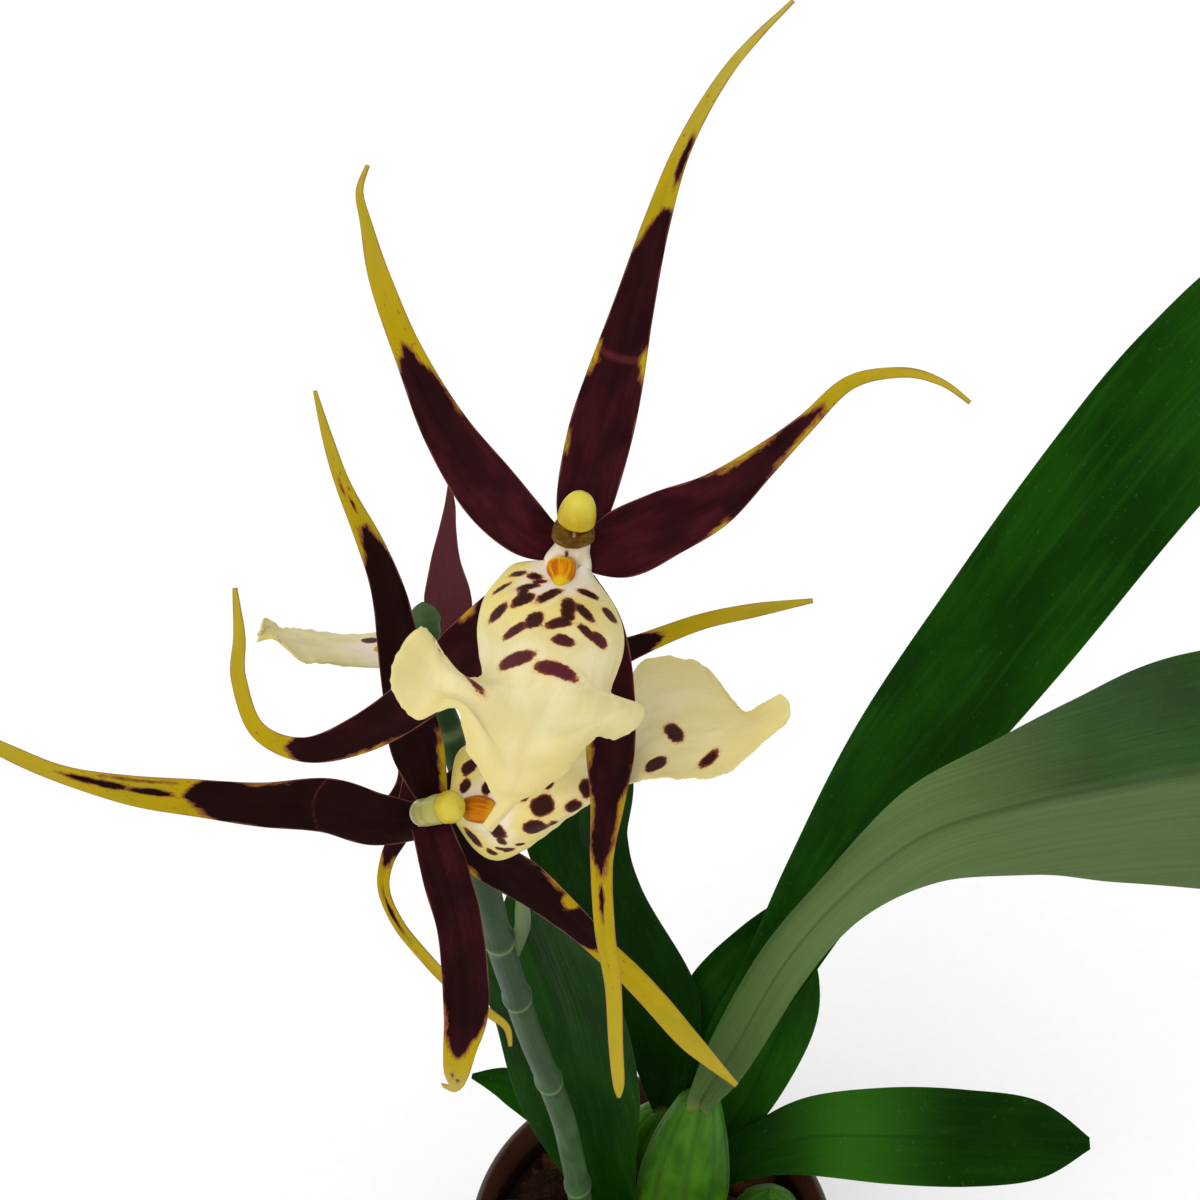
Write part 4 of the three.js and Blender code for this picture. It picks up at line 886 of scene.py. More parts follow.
def lip_skin():
    """Lips: soft matt cream with long faint veins, brown-rimmed maroon spots near the base, a pale
    pink middle, yellow shoulders, and a ridged orange callus with a yellow tip."""
    material, tree = new_material("lip_skin")
    strip, spot, callus, shoulder, brown, blush, centre_line, ripe = carried(
        tree, "spot", "callus", "shoulder", "brown", "blush", "centre_line", "ripe")
    veins = grain(tree, strip, (0.5, 11, 1))
    clouds = grain(tree, strip, (5, 7, 1), detail=2.0)
    cells = grain(tree, strip, (0.18, 0.22, 1), detail=1.0)
    ridges = grain(tree, strip, (0.5, 7, 1), detail=1.0)
    edge_waves = grain(tree, strip, (0.9, 0.9, 1), spread=0.16)
    edge_fray = grain(tree, strip, (0.28, 0.28, 1), spread=0.07)
    spot = summed(tree, 0.12, (spot, 1), (edge_waves, 1), (edge_fray, 1))
    callus_back = summed(tree, callus, (edge_waves, 1), (edge_fray, 1))
    on_callus = {"Value": callus, "To Max": ridges}
    raised = add(tree, "MapRange", on_callus, interpolation_type="SMOOTHSTEP")

    cream = over(tree, "#d8cb92", "#e2d7a8", clouds, -0.7, 0.7)
    cream = over(tree, cream, "#d0c078", ripe)
    cream = over(tree, cream, "#c9b974", veins, 0.0, 1.1, 0.15)
    cream = over(tree, cream, "#d8c45c", shoulder)
    cream = over(tree, cream, "#e6dad0", clouds, -1.0, 0.3, blush)
    # Painted shade: a faint darker line down the middle of the tongue.
    cream = over(tree, cream, "#cdb888", centre_line, strength=0.3)

    maroon = over(tree, "#521e24", "#2c1008", brown)
    skin = over(tree, cream, "#c9a05a", spot, -0.5, 0.0, 0.45)
    skin = over(tree, skin, "#7b3c2a", spot, -0.12, 0.1)
    skin = over(tree, skin, maroon, spot, 0.02, 0.4)

    orange = over(tree, "#b05c02", "#dc9206", ridges, -0.5, 0.5)
    orange = over(tree, orange, "#dcb41c", callus_back, 1.75, 1.1)
    orange = over(tree, orange, "#974a02", brown, strength=0.6)
    skin = over(tree, skin, orange, callus, 0.0, 1.0)
    relief = summed(tree, 0.0, (veins, 0.015), (cells, 0.008), (raised, 0.08))
    roughness = summed(tree, 0.58, (clouds, 0.04), (cells, 0.04))
    finish(tree, skin, relief, roughness, ior=1.4, gloss=0.25, tint=0.7,
           glow=0.06, glow_reach=(1.4, 1.0, 0.5))
    return material


def leaf_skin():
    """Leaves: leathery deep green with close lengthwise veins, a pressed-in midrib darkened by painted
    shade, a pale grey painted sheen on the lit half of the arching leaf, lighter green for young
    growth and for painted light, and a lighter dull underside."""
    material, tree = new_material("leaf_skin")
    strip, midrib, dusk, painted_sheen, youth_and_painted_light, face, base = carried(
        tree, "midrib", "dusk", "painted_sheen", "youth_and_painted_light", "face", "base")
    veins = grain(tree, strip, (0.7, 90, 1))
    fibres = grain(tree, strip, (2.6, 40, 1), detail=2.0)
    clouds = grain(tree, strip, (16, 38, 1))
    dust = grain(tree, strip, (1.4, 1.6, 1))

    sheen_green = over(tree, "#5c7042", "#536938", veins, -0.8, 1.0)
    green = over(tree, "#0c2f02", "#174504", clouds, -0.7, 0.8)
    green = over(tree, green, "#0f2c05", veins, -0.2, 1.0, 0.45)
    green = over(tree, green, "#2a5a14", fibres, 0.0, 1.0, 0.25)
    green = over(tree, green, "#071f01", dusk)
    # Painted sheen: a pale grey-green on the lit near half of the arching leaf.
    green = over(tree, green, sheen_green, painted_sheen)
    # Lighter green: young growth on the base leaf, and painted light on the side leaf and the low
    # leaf.
    green = over(tree, green, "#3c7a1e", youth_and_painted_light)
    # Painted shade: a darker green line in the pressed-in midrib.
    green = over(tree, green, "#10280a", midrib, 1.2, 0.1, 0.35)
    green = over(tree, green, "#4c6a38", face, 0.1, -0.3, 0.5)
    green = over(tree, green, "#8d9a80", dust, 0.5, 1.0, 0.06)
    green = over(tree, green, "#6f7a3a", base, 0.55, 1.0, 0.6)
    relief = summed(tree, 0.0, (veins, 0.04), (fibres, 0.04))
    roughness = summed(tree, 0.44, (dust, 0.05), (fibres, 0.03))
    finish(tree, green, relief, roughness, ior=1.45, gloss=0.2, tint=0.9,
           glow=0.03, glow_reach=(0.4, 1.0, 0.2))
    return material


def bulb_skin():
    """Pseudobulbs: smooth waxy green with shallow lengthwise ribs, yellower near the foot, and
    brown papery fibres of old sheaths round the very base."""
    material, tree = new_material("bulb_skin")
    strip, rise, groove = carried(tree, "rise", "groove")
    fibres = grain(tree, strip, (0.6, 26, 1))
    clouds = grain(tree, strip, (7, 18, 1))
    specks = grain(tree, strip, (0.7, 0.9, 1), detail=2.0)
    tatters = grain(tree, strip, (1.2, 12, 1), spread=0.05)
    torn = summed(tree, rise, (tatters, 1))

    green = over(tree, "#28520a", "#3f7014", clouds, -0.8, 0.8)
    green = over(tree, green, "#6f7a30", rise, 0.32, 0.0)
    green = over(tree, green, "#2f5a16", fibres, 0.0, 1.0, 0.35)
    # Painted shade: darker green down the grooves between the ribs.
    green = over(tree, green, "#28480f", groove, strength=0.5)
    green = over(tree, green, "#6b5a2c", specks, 0.6, 1.0, 0.5)
    green = over(tree, green, "#7c5f3c", torn, 0.13, 0.09)
    relief = summed(tree, 0.0, (fibres, 0.06), (specks, 0.02))
    roughness = summed(tree, 0.45, (clouds, 0.05), (specks, 0.05))
    finish(tree, green, relief, roughness, ior=1.45, gloss=0.25, tint=0.7,
           glow=0.05, glow_reach=(0.6, 1.2, 0.3))
    return material


def spike_skin():
    """Flower spike, ovaries and bracts: firm grey-green stem with a chalky waxy coat, fine lengthwise
    lines, paler rings at the joints, a few dark freckles, and painted shade that darkens the stem
    towards its top."""
    material, tree = new_material("spike_skin")
    strip, pale, dusk = carried(tree, "pale", "dusk")
    lines = grain(tree, strip, (0.5, 30, 1))
    clouds = grain(tree, strip, (4, 16, 1))
    specks = grain(tree, strip, (0.5, 0.8, 1), detail=2.0)

    green = over(tree, "#2b4424", "#3c5932", clouds, -0.8, 0.8)
    green = over(tree, green, "#294224", lines, 0.0, 1.0, 0.5)
    # Painted shade: darker green where the dusk mark is set, most towards the top of the stem.
    green = over(tree, green, "#1d3317", dusk)
    green = over(tree, green, "#8fa067", pale)
    green = over(tree, green, "#4a3034", specks, 0.7, 1.0, 0.6)
    relief = summed(tree, 0.0, (lines, 0.04), (specks, 0.02))
    roughness = summed(tree, 0.5, (clouds, 0.04), (lines, 0.03))
    finish(tree, green, relief, roughness, ior=1.42, gloss=0.25, tint=0.7,
           glow=0.05, glow_reach=(0.6, 1.1, 0.4))
    return material


def column_skin():
    """Columns: waxy cream-white foot, greener sides, an olive-brown collar under the cap, and the
    brown-edged mouth and a dark pit of painted shade on the underside."""
    material, tree = new_material("column_skin")
    strip, collar, mouth, pit, green = carried(tree, "collar", "mouth", "pit", "green")
    clouds = grain(tree, strip, (1.6, 2.2, 1))
    specks = grain(tree, strip, (0.3, 0.4, 1), detail=2.0)
    wobble = grain(tree, strip, (0.5, 0.5, 1), spread=0.12)
    collar, mouth, pit = (summed(tree, mark, (wobble, 1)) for mark in (collar, mouth, pit))

    olive = over(tree, "#553804", "#6e4e08", clouds, -0.6, 0.6)
    wax = over(tree, "#ddd0b8", "#efe6d6", clouds, -0.7, 0.7)
    wax = over(tree, wax, "#9f9d4a", green)
    wax = over(tree, wax, olive, collar, -0.15, 0.15)
    wax = over(tree, wax, "#7a3316", mouth, 0.0, 0.35)
    wax = over(tree, wax, "#c8a882", mouth, 0.35, 0.6)
    # Painted shade: a dark spot for the hollow under the column.
    wax = over(tree, wax, "#3a1a10", pit, -0.1, 0.2)
    relief = summed(tree, 0.0, (clouds, 0.03), (specks, 0.012))
    roughness = summed(tree, 0.4, (clouds, 0.04), (specks, 0.04))
    finish(tree, wax, relief, roughness, ior=1.42, gloss=0.3, tint=0.7,
           glow=0.05, glow_reach=(1.0, 0.8, 0.4))
    return material


def cap_skin():
    """Anther caps: waxy yellow hoods, paler and thinner on top and deeper in colour at the lip."""
    material, tree = new_material("cap_skin")
    strip, rise = carried(tree, "rise")
    clouds = grain(tree, strip, (2, 2.6, 1))
    specks = grain(tree, strip, (0.25, 0.35, 1), detail=2.0)

    yellow = over(tree, "#b29602", "#cabb3e", rise)
    yellow = over(tree, yellow, "#c9bd3a", clouds, -0.2, 0.9, 0.4)
    relief = summed(tree, 0.0, (clouds, 0.03), (specks, 0.01))
    roughness = summed(tree, 0.38, (clouds, 0.04), (specks, 0.03))
    finish(tree, yellow, relief, roughness, ior=1.42, gloss=0.4,
           glow=0.14, glow_reach=(1.6, 1.4, 0.5))
    return material


def bark_surface():
    """Broken conifer bark: dull brown flakes in thin layers, some redder and some greyed."""
    material, tree = new_material("bark_surface")
    strip, tone = carried(tree, "tone")
    layers = grain(tree, strip, (9, 7, 0.7), detail=4.0)
    pits = grain(tree, strip, (1.4, 1.1, 0.9), detail=5.0)
    clouds = grain(tree, strip, (6, 5, 3))

    shade = summed(tree, tone, (clouds, 0.16))
    brown = add(tree, "ValToRGB", {0: shade}, stops=[
        (0.0, "#150a04"), (0.3, "#28160b"), (0.55, "#402511"), (0.8, "#54341c"), (1.0, "#644a2e"),
    ])
    brown = over(tree, brown, "#1b0f08", layers, 0.0, 1.0, 0.6)
    brown = over(tree, brown, "#0e0704", pits, 0.1, 1.0, 0.5)
    brown = over(tree, brown, "#5a4830", pits, -0.4, -1.0, 0.3)
    relief = summed(tree, 0.0, (layers, 0.35), (pits, 0.3))
    roughness = summed(tree, 0.88, (pits, 0.05))
    finish(tree, brown, relief, roughness, ior=1.5, gloss=0.15, tint=0.8)
    return material


def pot_plastic():
    """The pot: dark brown moulded plastic, glossy under a thin film of dust, with faint water marks
    near the foot, fine scuffs round the band and a lighter brown inside its rim, painted light on the
    shaded inner wall."""
    material, tree = new_material("pot_plastic")
    strip, splash, painted_inner_light, crown = carried(tree, "splash", "painted_inner_light", "crown")
    peel = grain(tree, strip, (1.1, 1.1, 1.1), detail=2.0)
    smudge = grain(tree, strip, (22, 22, 16), detail=4.0)
    scuffs = grain(tree, strip, (9, 9, 0.35))
    drips = grain(tree, strip, (14, 14, 4), detail=4.0)
    drip_limits = {"Value": drips, "From Min": 0.15, "From Max": 0.6, "To Max": splash}
    water_marks = add(tree, "MapRange", drip_limits, interpolation_type="SMOOTHSTEP")

    brown = over(tree, "#1c0d07", "#28140d", smudge, -0.8, 0.8)
    brown = over(tree, brown, "#5d463a", scuffs, 0.6, 1.0, 0.35)
    brown = over(tree, brown, "#8c7d6e", water_marks, strength=0.14)
    # Painted light: a lighter brown on the shaded inner wall above the bark.
    brown = over(tree, brown, "#4c2d1e", smudge, -2.2, 0.2, painted_inner_light)
    brown = over(tree, brown, "#6a5648", crown, strength=0.3)
    relief = summed(tree, 0.0, (peel, 0.012), (scuffs, 0.012))
    roughness = summed(tree, 0.3, (smudge, 0.06), (water_marks, 0.25))
    finish(tree, brown, relief, roughness, ior=1.49, gloss=0.4)
    return material


MATERIALS = {
    "pot": pot_plastic(),
    "bark": bark_surface(),
    "bulb": bulb_skin(),
    "leaf": leaf_skin(),
    "spike": spike_skin(),
    "tepal": tepal_skin(),
    "lip": lip_skin(),
    "column": column_skin(),
    "cap": cap_skin(),
}

# ---- Pot -------------------------------------------------------------------------------------------
def strip_of(across, along, seed):
    """Flat surface coordinates in mm, moved by a seed so that no two pieces match."""
    furthest = 900
    shift = random.Random(seed).uniform(0, furthest)
    return np.stack([across + shift, along + shift, np.full_like(across, shift)], axis=-1)


def softened(profile, cut):
    """A profile with each corner replaced by a small curve that starts `cut` mm before it, or just
    short of the middle of a side that is shorter than that."""
    short_of_middle = 0.45
    curve_points = 5
    profile = np.asarray(profile, float)
    result = [profile[0]]
    for before, corner, after in zip(profile, profile[1:], profile[2:]):
        ends = []
        for neighbour in (before, after):
            reach = np.linalg.norm(neighbour - corner)
            ends.append(corner + (neighbour - corner) * min(cut / reach, short_of_middle))
        for share in np.linspace(0, 1, curve_points):
            start = ends[0] * (1 - share) + corner * share
            end = corner * (1 - share) + ends[1] * share
            result.append(start * (1 - share) + end * share)
    result.append(profile[-1])
    return np.array(result)


def filled_in(profile, step):
    """A profile with points added so that none of its sides is longer than `step` mm."""
    run = run_length(profile)
    places = np.union1d(run, np.linspace(0, run[-1], int(run[-1] / step)))
    return np.stack([np.interp(places, run, profile[:, k]) for k in range(2)], axis=1)


def turned(profile, sides, centre=(0, 0)):
    """Rings of points round an upright axis. The profile starts and ends on that axis."""
    angle = np.linspace(0, 2 * math.pi, sides, endpoint=False)
    radius, height = profile[1:-1, 0][:, None], profile[1:-1, 1][:, None]
    x = centre[0] + radius * np.cos(angle)
    y = centre[1] + radius * np.sin(angle)
    return np.stack([x, y, np.broadcast_to(height, x.shape)], axis=-1)


def wall_radius(height):
    """The radius of the pot's outer wall at a height below its band."""
    return POT_FOOT_RADIUS + (POT_TOP_RADIUS - POT_FOOT_RADIUS) * height / POT_BAND_FOOT


def pot_profile():
    """Half of the pot's cross-section, from the middle of its foot over the rim to its floor."""
    outside = [[0, 0], [POT_FOOT_RADIUS - POT_BEVEL, 0], [wall_radius(POT_BEVEL), POT_BEVEL]]
    outside.append([wall_radius(POT_BAND_FOOT), POT_BAND_FOOT])
    band = [[POT_BAND_RADIUS - inward, POT_BAND_FOOT + up] for inward, up in POT_BAND_STEPS]
    rim = [[POT_BAND_RADIUS - inward, POT_HEIGHT - down] for inward, down in POT_RIM_STEPS]
    inside = [
        [wall_radius(POT_BAND_FOOT) - POT_WALL, POT_BAND_FOOT - POT_WALL],
        [wall_radius(POT_FLOOR) - POT_WALL, POT_FLOOR], [0, POT_FLOOR],
    ]
    return filled_in(softened(outside + band + rim + inside, POT_CORNER), LONGEST_STEP)


def add_spare(name, solid):
    """An object that only helps to make another one."""
    spare = bpy.data.objects.new(name, new_mesh(name, solid, MATERIALS["pot"]))
    bpy.context.scene.collection.objects.link(spare)
    return spare


def make_pot():
    """A tapered pot with a rolled band, a flat foot and four drain holes."""
    rings = turned(pot_profile(), POT_SIDES)
    height = rings[..., 2]
    radius = np.hypot(rings[..., 0], rings[..., 1])
    rim_inside = POT_BAND_RADIUS - POT_RIM_STEPS[-1][0]
    crown_depth = 2
    splash_foot, splash_top = 5, 60
    above_wall = smooth_step(height, POT_BAND_FOOT, POT_BAND_FOOT + 2)
    marks = {
        "strip": rings.copy(),
        "splash": smooth_step(height, splash_top, splash_foot),
        # Painted light on the inner wall inside the rim, above the band's foot.
        "painted_inner_light": smooth_step(radius, rim_inside + 1.2, rim_inside + 0.4) * above_wall,
        "crown": smooth_step(height, POT_HEIGHT - crown_depth, POT_HEIGHT),
    }
    blank = add_spare("pot_blank", closed_rings(rings, marks))
    below, above = -2, 8
    drill_profile = np.array([[0, below], [DRAIN_RADIUS, below], [DRAIN_RADIUS, above], [0, above]])
    holes = []
    for k in range(DRAIN_COUNT):
        angle = (k + 0.5) / DRAIN_COUNT * 2 * math.pi
        centre = (DRAIN_CIRCLE * math.cos(angle), DRAIN_CIRCLE * math.sin(angle))
        holes.append(closed_rings(turned(drill_profile, DRAIN_SIDES, centre), {}))
    drill = add_spare("drill", joined(holes))
    cut = blank.modifiers.new("drains", "BOOLEAN")
    cut.operation = "DIFFERENCE"
    cut.object = drill
    view_layer = bpy.context.evaluated_depsgraph_get()
    drilled = bpy.data.meshes.new_from_object(blank.evaluated_get(view_layer))
    drilled.name = "fine_pot"
    for spare in (blank, drill):
        bpy.data.objects.remove(spare)
    sharpest_smooth = math.radians(50)
    drilled.set_sharp_from_angle(angle=sharpest_smooth)
    show(drilled, "pot")


# ---- Bark ------------------------------------------------------------------------------------------
def rolled(x, z, angle):
    """Two coordinates turned by an angle in their own plane."""
    return x * math.cos(angle) - z * math.sin(angle), x * math.sin(angle) + z * math.cos(angle)


def bark_lump(size, place, turn, tilt, dice, rings=9, sides=14):
    """One broken flake of bark: a rounded block, pushed about and split into rough layers."""
    squareness = 0.5
    strongest_skew = 0.25
    # Each roughness is [how many bumps a block's half width holds, depth as a share].
    coarse, fine = (1.5, 0.34), (4.2, 0.13)
    polar = np.linspace(0, math.pi, rings + 2)[1:-1, None]
    angle = np.linspace(0, 2 * math.pi, sides, endpoint=False)
    upright = np.broadcast_to(-np.cos(polar), (rings, sides))
    out = np.stack([np.sin(polar) * np.cos(angle), np.sin(polar) * np.sin(angle), upright], axis=-1)
    block = np.sign(out) * np.abs(out) ** squareness
    seed = Vector([dice.uniform(0, 90) for _ in range(3)])
    swelling = 1
    for bumps, depth in (coarse, fine):
        rough = [[noise.noise(Vector(point) * bumps + seed) for point in ring] for ring in block]
        swelling = swelling + depth * np.array(rough)
    block = block * swelling[..., None]
    block[..., 0] *= 1 + strongest_skew * block[..., 1] * dice.uniform(-1, 1)
    local = block * np.array(size) / 2
    x, z = rolled(local[..., 0], local[..., 2], -tilt)
    x, y = rolled(x, local[..., 1], turn)
    marks = {
        "strip": local + np.array(seed) * 7,
        "tone": np.full((rings, sides), dice.uniform(0.1, 0.85)),
    }
    return closed_rings(np.stack([x, y, z], axis=-1) + np.array(place), marks)


def make_bark():
    """The bark bed, with a heaped top of loose-looking flakes, and four larger chips on it."""
    dice = random.Random(31)
    extra_gap = 0.3
    inner = POT_WALL + CLEARANCE + extra_gap
    floor_top = POT_FLOOR + CLEARANCE
    profile = np.array([
        [0, floor_top], [wall_radius(floor_top) - inner, floor_top],
        [wall_radius(BED_TOP) - inner, BED_TOP], [0, BED_TOP],
    ], float)
    bed = turned(filled_in(profile, LONGEST_STEP), BED_SIDES)
    flakes = [closed_rings(bed, {"strip": bed.copy(), "tone": np.full(bed.shape[:2], 0.15)})]
    rows = int(2 * POT_TOP_RADIUS / FLAKE_SPACING)
    for row in range(rows):
        for column in range(rows):
            stagger = 0.5 * (row % 2)
            x = (column - rows / 2 + stagger) * FLAKE_SPACING + dice.uniform(-FLAKE_STRAY, FLAKE_STRAY)
            y = (row - rows / 2 + 0.5) * FLAKE_SPACING + dice.uniform(-FLAKE_STRAY, FLAKE_STRAY)
            size = [dice.uniform(least, most) for least, most in FLAKE_SIZES]
            room = wall_radius(BARK_TOP) - inner - size[0] / 2
            away = math.hypot(x, y)
            if away > room + FLAKE_PULL:
                continue
            if away > room:
                x, y = x * room / away, y * room / away
            place = [x, y, BARK_TOP - dice.uniform(*FLAKE_DEPTHS)]
            turn = dice.uniform(0, math.pi)
            tilt = dice.uniform(-FLAKE_TILT, FLAKE_TILT)
            flakes.append(bark_lump(size, place, turn, tilt, dice))
    add_piece("bark_bed", "bark", joined(flakes))
    for k, (x, y, turn, length, width, height) in enumerate(CHIPS):
        size = [length, width, height]
        place = [x, y, BARK_TOP + CLEARANCE + height / 2]
        tilt = dice.uniform(-CHIP_TILT, CHIP_TILT)
        chip = bark_lump(size, place, math.radians(turn), tilt, dice, *CHIP_MESH)
        add_piece(f"bark_chip_{k + 1}", "bark", chip)


# ---- Stems, bulbs and blades -----------------------------------------------------------------------
def heading(rows, shares):
    """Which way the line through the rows runs at these shares of the way."""
    step = 0.01
    ahead, behind = (smooth_rows(rows, shares + way)[:, :3] for way in (step, -step))
    return unit(ahead - behind)


def stem_rings(kind, rows, swell, wide=RIGHTWARD):
    """Rings round a line of rows [x, y, z, half width, half depth], where a row may leave out its
    half depth if it is round. Gives the share along and the angle round of each point too. `swell`
    scales the radius by share and angle."""
    stations, sides = MESH[kind]
    shares, length = even_shares(rows, stations)
    line = smooth_rows(rows, shares)
    direction = heading(rows, shares)
    depthwise = unit(np.cross(direction, wide))
    widthwise = np.cross(depthwise, direction)
    angle = np.linspace(0, 2 * math.pi, sides, endpoint=False)[None, :]
    share = np.linspace(0, 1, stations)[:, None]
    factor = np.ones((stations, sides)) * swell(share, angle, length)
    half_width = line[:, 3][:, None] * factor
    half_depth = line[:, -1][:, None] * factor
    rings = line[:, None, :3] + widthwise[:, None] * (half_width * np.cos(angle))[..., None]
    rings = rings + depthwise[:, None] * (half_depth * np.sin(angle))[..., None]
    share, angle = (np.broadcast_to(values, factor.shape) for values in (share, angle))
    return rings, share, angle, length


def stem_strip(kind, angle, share, length, seed):
    """The flat surface coordinates of a round piece."""
    return strip_of(angle * SKIN_RADIUS[kind], share * length, seed)


def round_off(share, length, start=0.0, end=0.0):
    """Closes a stem in a dome: a radius factor that falls to nearly nothing over these mm at its
    ends."""
    least = 0.0004
    factor = np.ones_like(share)
    for distance, reach in ((share * length, start), ((1 - share) * length, end)):
        if reach:
            inner = 1 - np.clip(distance / reach, 0, 1)
            factor = factor * np.sqrt(np.maximum(1 - inner ** 2, least))
    return factor


def wrapped(angle, at):
    """The angle from a direction given in degrees, between -pi and pi."""
    return (angle - math.radians(at) + math.pi) % (2 * math.pi) - math.pi


def make_bulbs():
    """Swollen stem bases with shallow ribs, closed in a blunt top that the leaves stand on."""
    ribs = 9
    rib_depth, unevenness, blunt_top = 0.035, 0.02, 4
    for seed, (name, rows) in enumerate(BULBS.items()):
        def groove(angle, seed=seed):
            turns = ribs * angle + 1.3 * np.sin(angle + seed)
            return np.clip(-np.cos(turns), 0, 1) ** 3

        def swell(share, angle, length):
            sheath = 0.05 * bell(share - 0.05, 0.05) + 0.03 * bell(share - 0.96, 0.03)
            ribbing = rib_depth * groove(angle) * smooth_step(share, 0, 0.15)
            uneven = unevenness * np.sin(2 * angle + 5 * share + seed)
            return (1 + sheath - ribbing + uneven) * round_off(share, length, end=blunt_top)

        rings, share, angle, length = stem_rings("bulb", rows, swell)
        marks = {
            "strip": stem_strip("bulb", angle, share, length, name),
            "rise": share.copy(),
            # Darker colour in the grooves is painted shade.
            "groove": groove(angle),
        }
        add_piece(name, "bulb", closed_rings(rings, marks))


def blade_grid(kind, name, rows, facing, tip_facing, cup, keel, sway):
    """The middle sheet of a blade: its points, the way up from each station, the arc share and the
    side-to-side place (-1 to 1) of each point, its length and its local width. The right-hand edge,
    looking from the base to the tip at the front, is at +1. `cup` is how high the edges stand, as a
    share of the width, `keel` how sharply the middle folds, and `sway` the longest wave of the
    edges and its height."""
    stations, cells = MESH[kind]
    shares, length = even_shares(rows, stations)
    line = smooth_rows(rows, shares)
    direction = heading(rows, shares)
    facing, tip_facing = (unit(np.array(f, float)) for f in (facing, tip_facing))
    side = unit(np.cross(direction, facing + (tip_facing - facing) * shares[:, None]))
    up = np.cross(side, direction)
    across = np.sin(np.linspace(-math.pi / 2, math.pi / 2, cells + 1))[None, :]
    share = np.linspace(0, 1, stations)[:, None]
    width = line[:, 3][:, None]
    longest, height = sway
    other_edge = 90 * (across > 0)
    swaying = waves(share * length + other_edge, 4, longest, 0.4 * longest, name)
    lift = cup * width * np.abs(across) ** keel + swaying * np.abs(across) ** 3 * height
    grid = line[:, None, :3] + side[:, None] * (across * width / 2)[..., None]
    grid = grid + up[:, None] * lift[..., None]
    share, across, width = (np.broadcast_to(v, lift.shape) for v in (share, across, width))
    return grid, up, share, across, length, width


def blade_half(thickness, share, across):
    """Half the thickness of a blade: full along the middle, thin at the tip, nothing at the edges."""
    thinner_aside, thinner_tip = 0.4, 0.5
    body = (1 - thinner_aside * across ** 2) * (1 - thinner_tip * share ** 2)
    return thickness / 2 * body * np.sqrt(np.clip(1 - np.abs(across) ** EDGE_BLUNTNESS, 0, 1))


def rooted(rows):
    """The leaf's rows with one more below, so that its base sits inside its bulb or in the bark."""
    depth, narrower = 6, 0.85
    x, y, z, width = rows[0]
    return [[x, y, z - depth, narrower * width], *rows]


def leaf_bloom(share, from_middle):
    """How much pale grey painted sheen lies on the arching leaf's lit near half: less in its far half
    beyond the bend and at its foot, and least along its far edge below the bend, which is painted
    shade."""
    far_half = smooth_step(from_middle, 0.6, -0.4)
    far_edge = smooth_step(from_middle, -2, -12)
    painted_sheen = 1 - 0.25 * smooth_step(share, 0.3, 0.7) - 0.65 * far_half * smooth_step(share, 0.4, 0.7)
    painted_sheen = painted_sheen * (0.55 + 0.45 * smooth_step(share, 0.06, 0.26))
    return painted_sheen * (1 - 0.6 * far_edge * smooth_step(share, 0.42, 0.28))


def make_leaves():
    """Strap leaves, folded at the base where they clasp the bulb and flat above."""
    fold_height, trough_depth, rib_height = 0.3, 0.35, 0.35
    trough_reach, rib_reach = 1.1, 1.6
    base_length = 14
    for name, leaf in LEAVES.items():
        facing = leaf["facing"]
        grid, up, share, across, length, width = blade_grid(
            "leaf", name, rooted(leaf["rows"]), facing, leaf.get("tip_facing", facing), leaf["cup"],
            LEAF_KEEL, LEAF_SWAY)
        along = share * length
        from_middle = across * width / 2
        fold = fold_height * width * smooth_step(share, 0.2, 0.0) * np.abs(across) ** 1.4
        trough = trough_depth * np.exp(-(from_middle / trough_reach) ** 2)
        lift = fold - trough * smooth_step(share, 1, 0.8)
        grid = grid + up[:, None] * lift[..., None]
        nothing = np.zeros_like(share)
        youth_and_painted_light = leaf.get("youth_and_painted_light", 0) * np.ones_like(share)
        # The low leaf's lighter green is a painted highlight across the middle of its length.
        if name == "low_leaf":
            youth_and_painted_light = youth_and_painted_light * smooth_step(share, 0.75, 0.5) * smooth_step(share, 0.32, 0.5)
        marks = {
            "strip": strip_of(from_middle, along, name),
            "midrib": np.abs(from_middle),
            "dusk": nothing + leaf.get("dusk", 0),
            "painted_sheen": leaf_bloom(share, from_middle) if name == "arching_leaf" else nothing,
            "youth_and_painted_light": youth_and_painted_light,
            "base": smooth_step(along, base_length, 0),
        }
        half = blade_half(LEAF_THICKNESS, share, across)
        half = half + rib_height * np.exp(-(from_middle / rib_reach) ** 2) * smooth_step(share, 0.8, 0)
        half = half * np.sqrt(np.clip(1 - np.abs(across) ** EDGE_BLUNTNESS, 0, 1))
        add_piece(name, "leaf", closed_sheet(grid, half, marks, front_sign=-1))


def make_spike():
    """The arching flower stem, with a swollen ring and a pale scar at each joint."""
    ring_height, ring_reach, scar_reach, scar_drop = 0.17, 5, 1.6, 1.4

    def swell(share, angle, length):
        ring = sum(bell((share - joint) * length, ring_reach) for joint in SPIKE_JOINTS)
        return 1 + ring_height * ring + 0.02 * np.sin(3 * angle + 40 * share)

    rings, share, angle, length = stem_rings("spike", SPIKE_ROWS, swell)
    scars = sum(bell((share - joint) * length + scar_drop, scar_reach) for joint in SPIKE_JOINTS)
    marks = {
        "strip": stem_strip("spike", angle, share, length, 5),
        "pale": 0.4 * scars,
        # Painted shade: the stem darkens towards its top, under the flowers.
        "dusk": 0.7 * smooth_step(share, 0.3, 0.75),
    }
    add_piece("spike", "spike", closed_rings(rings, marks))


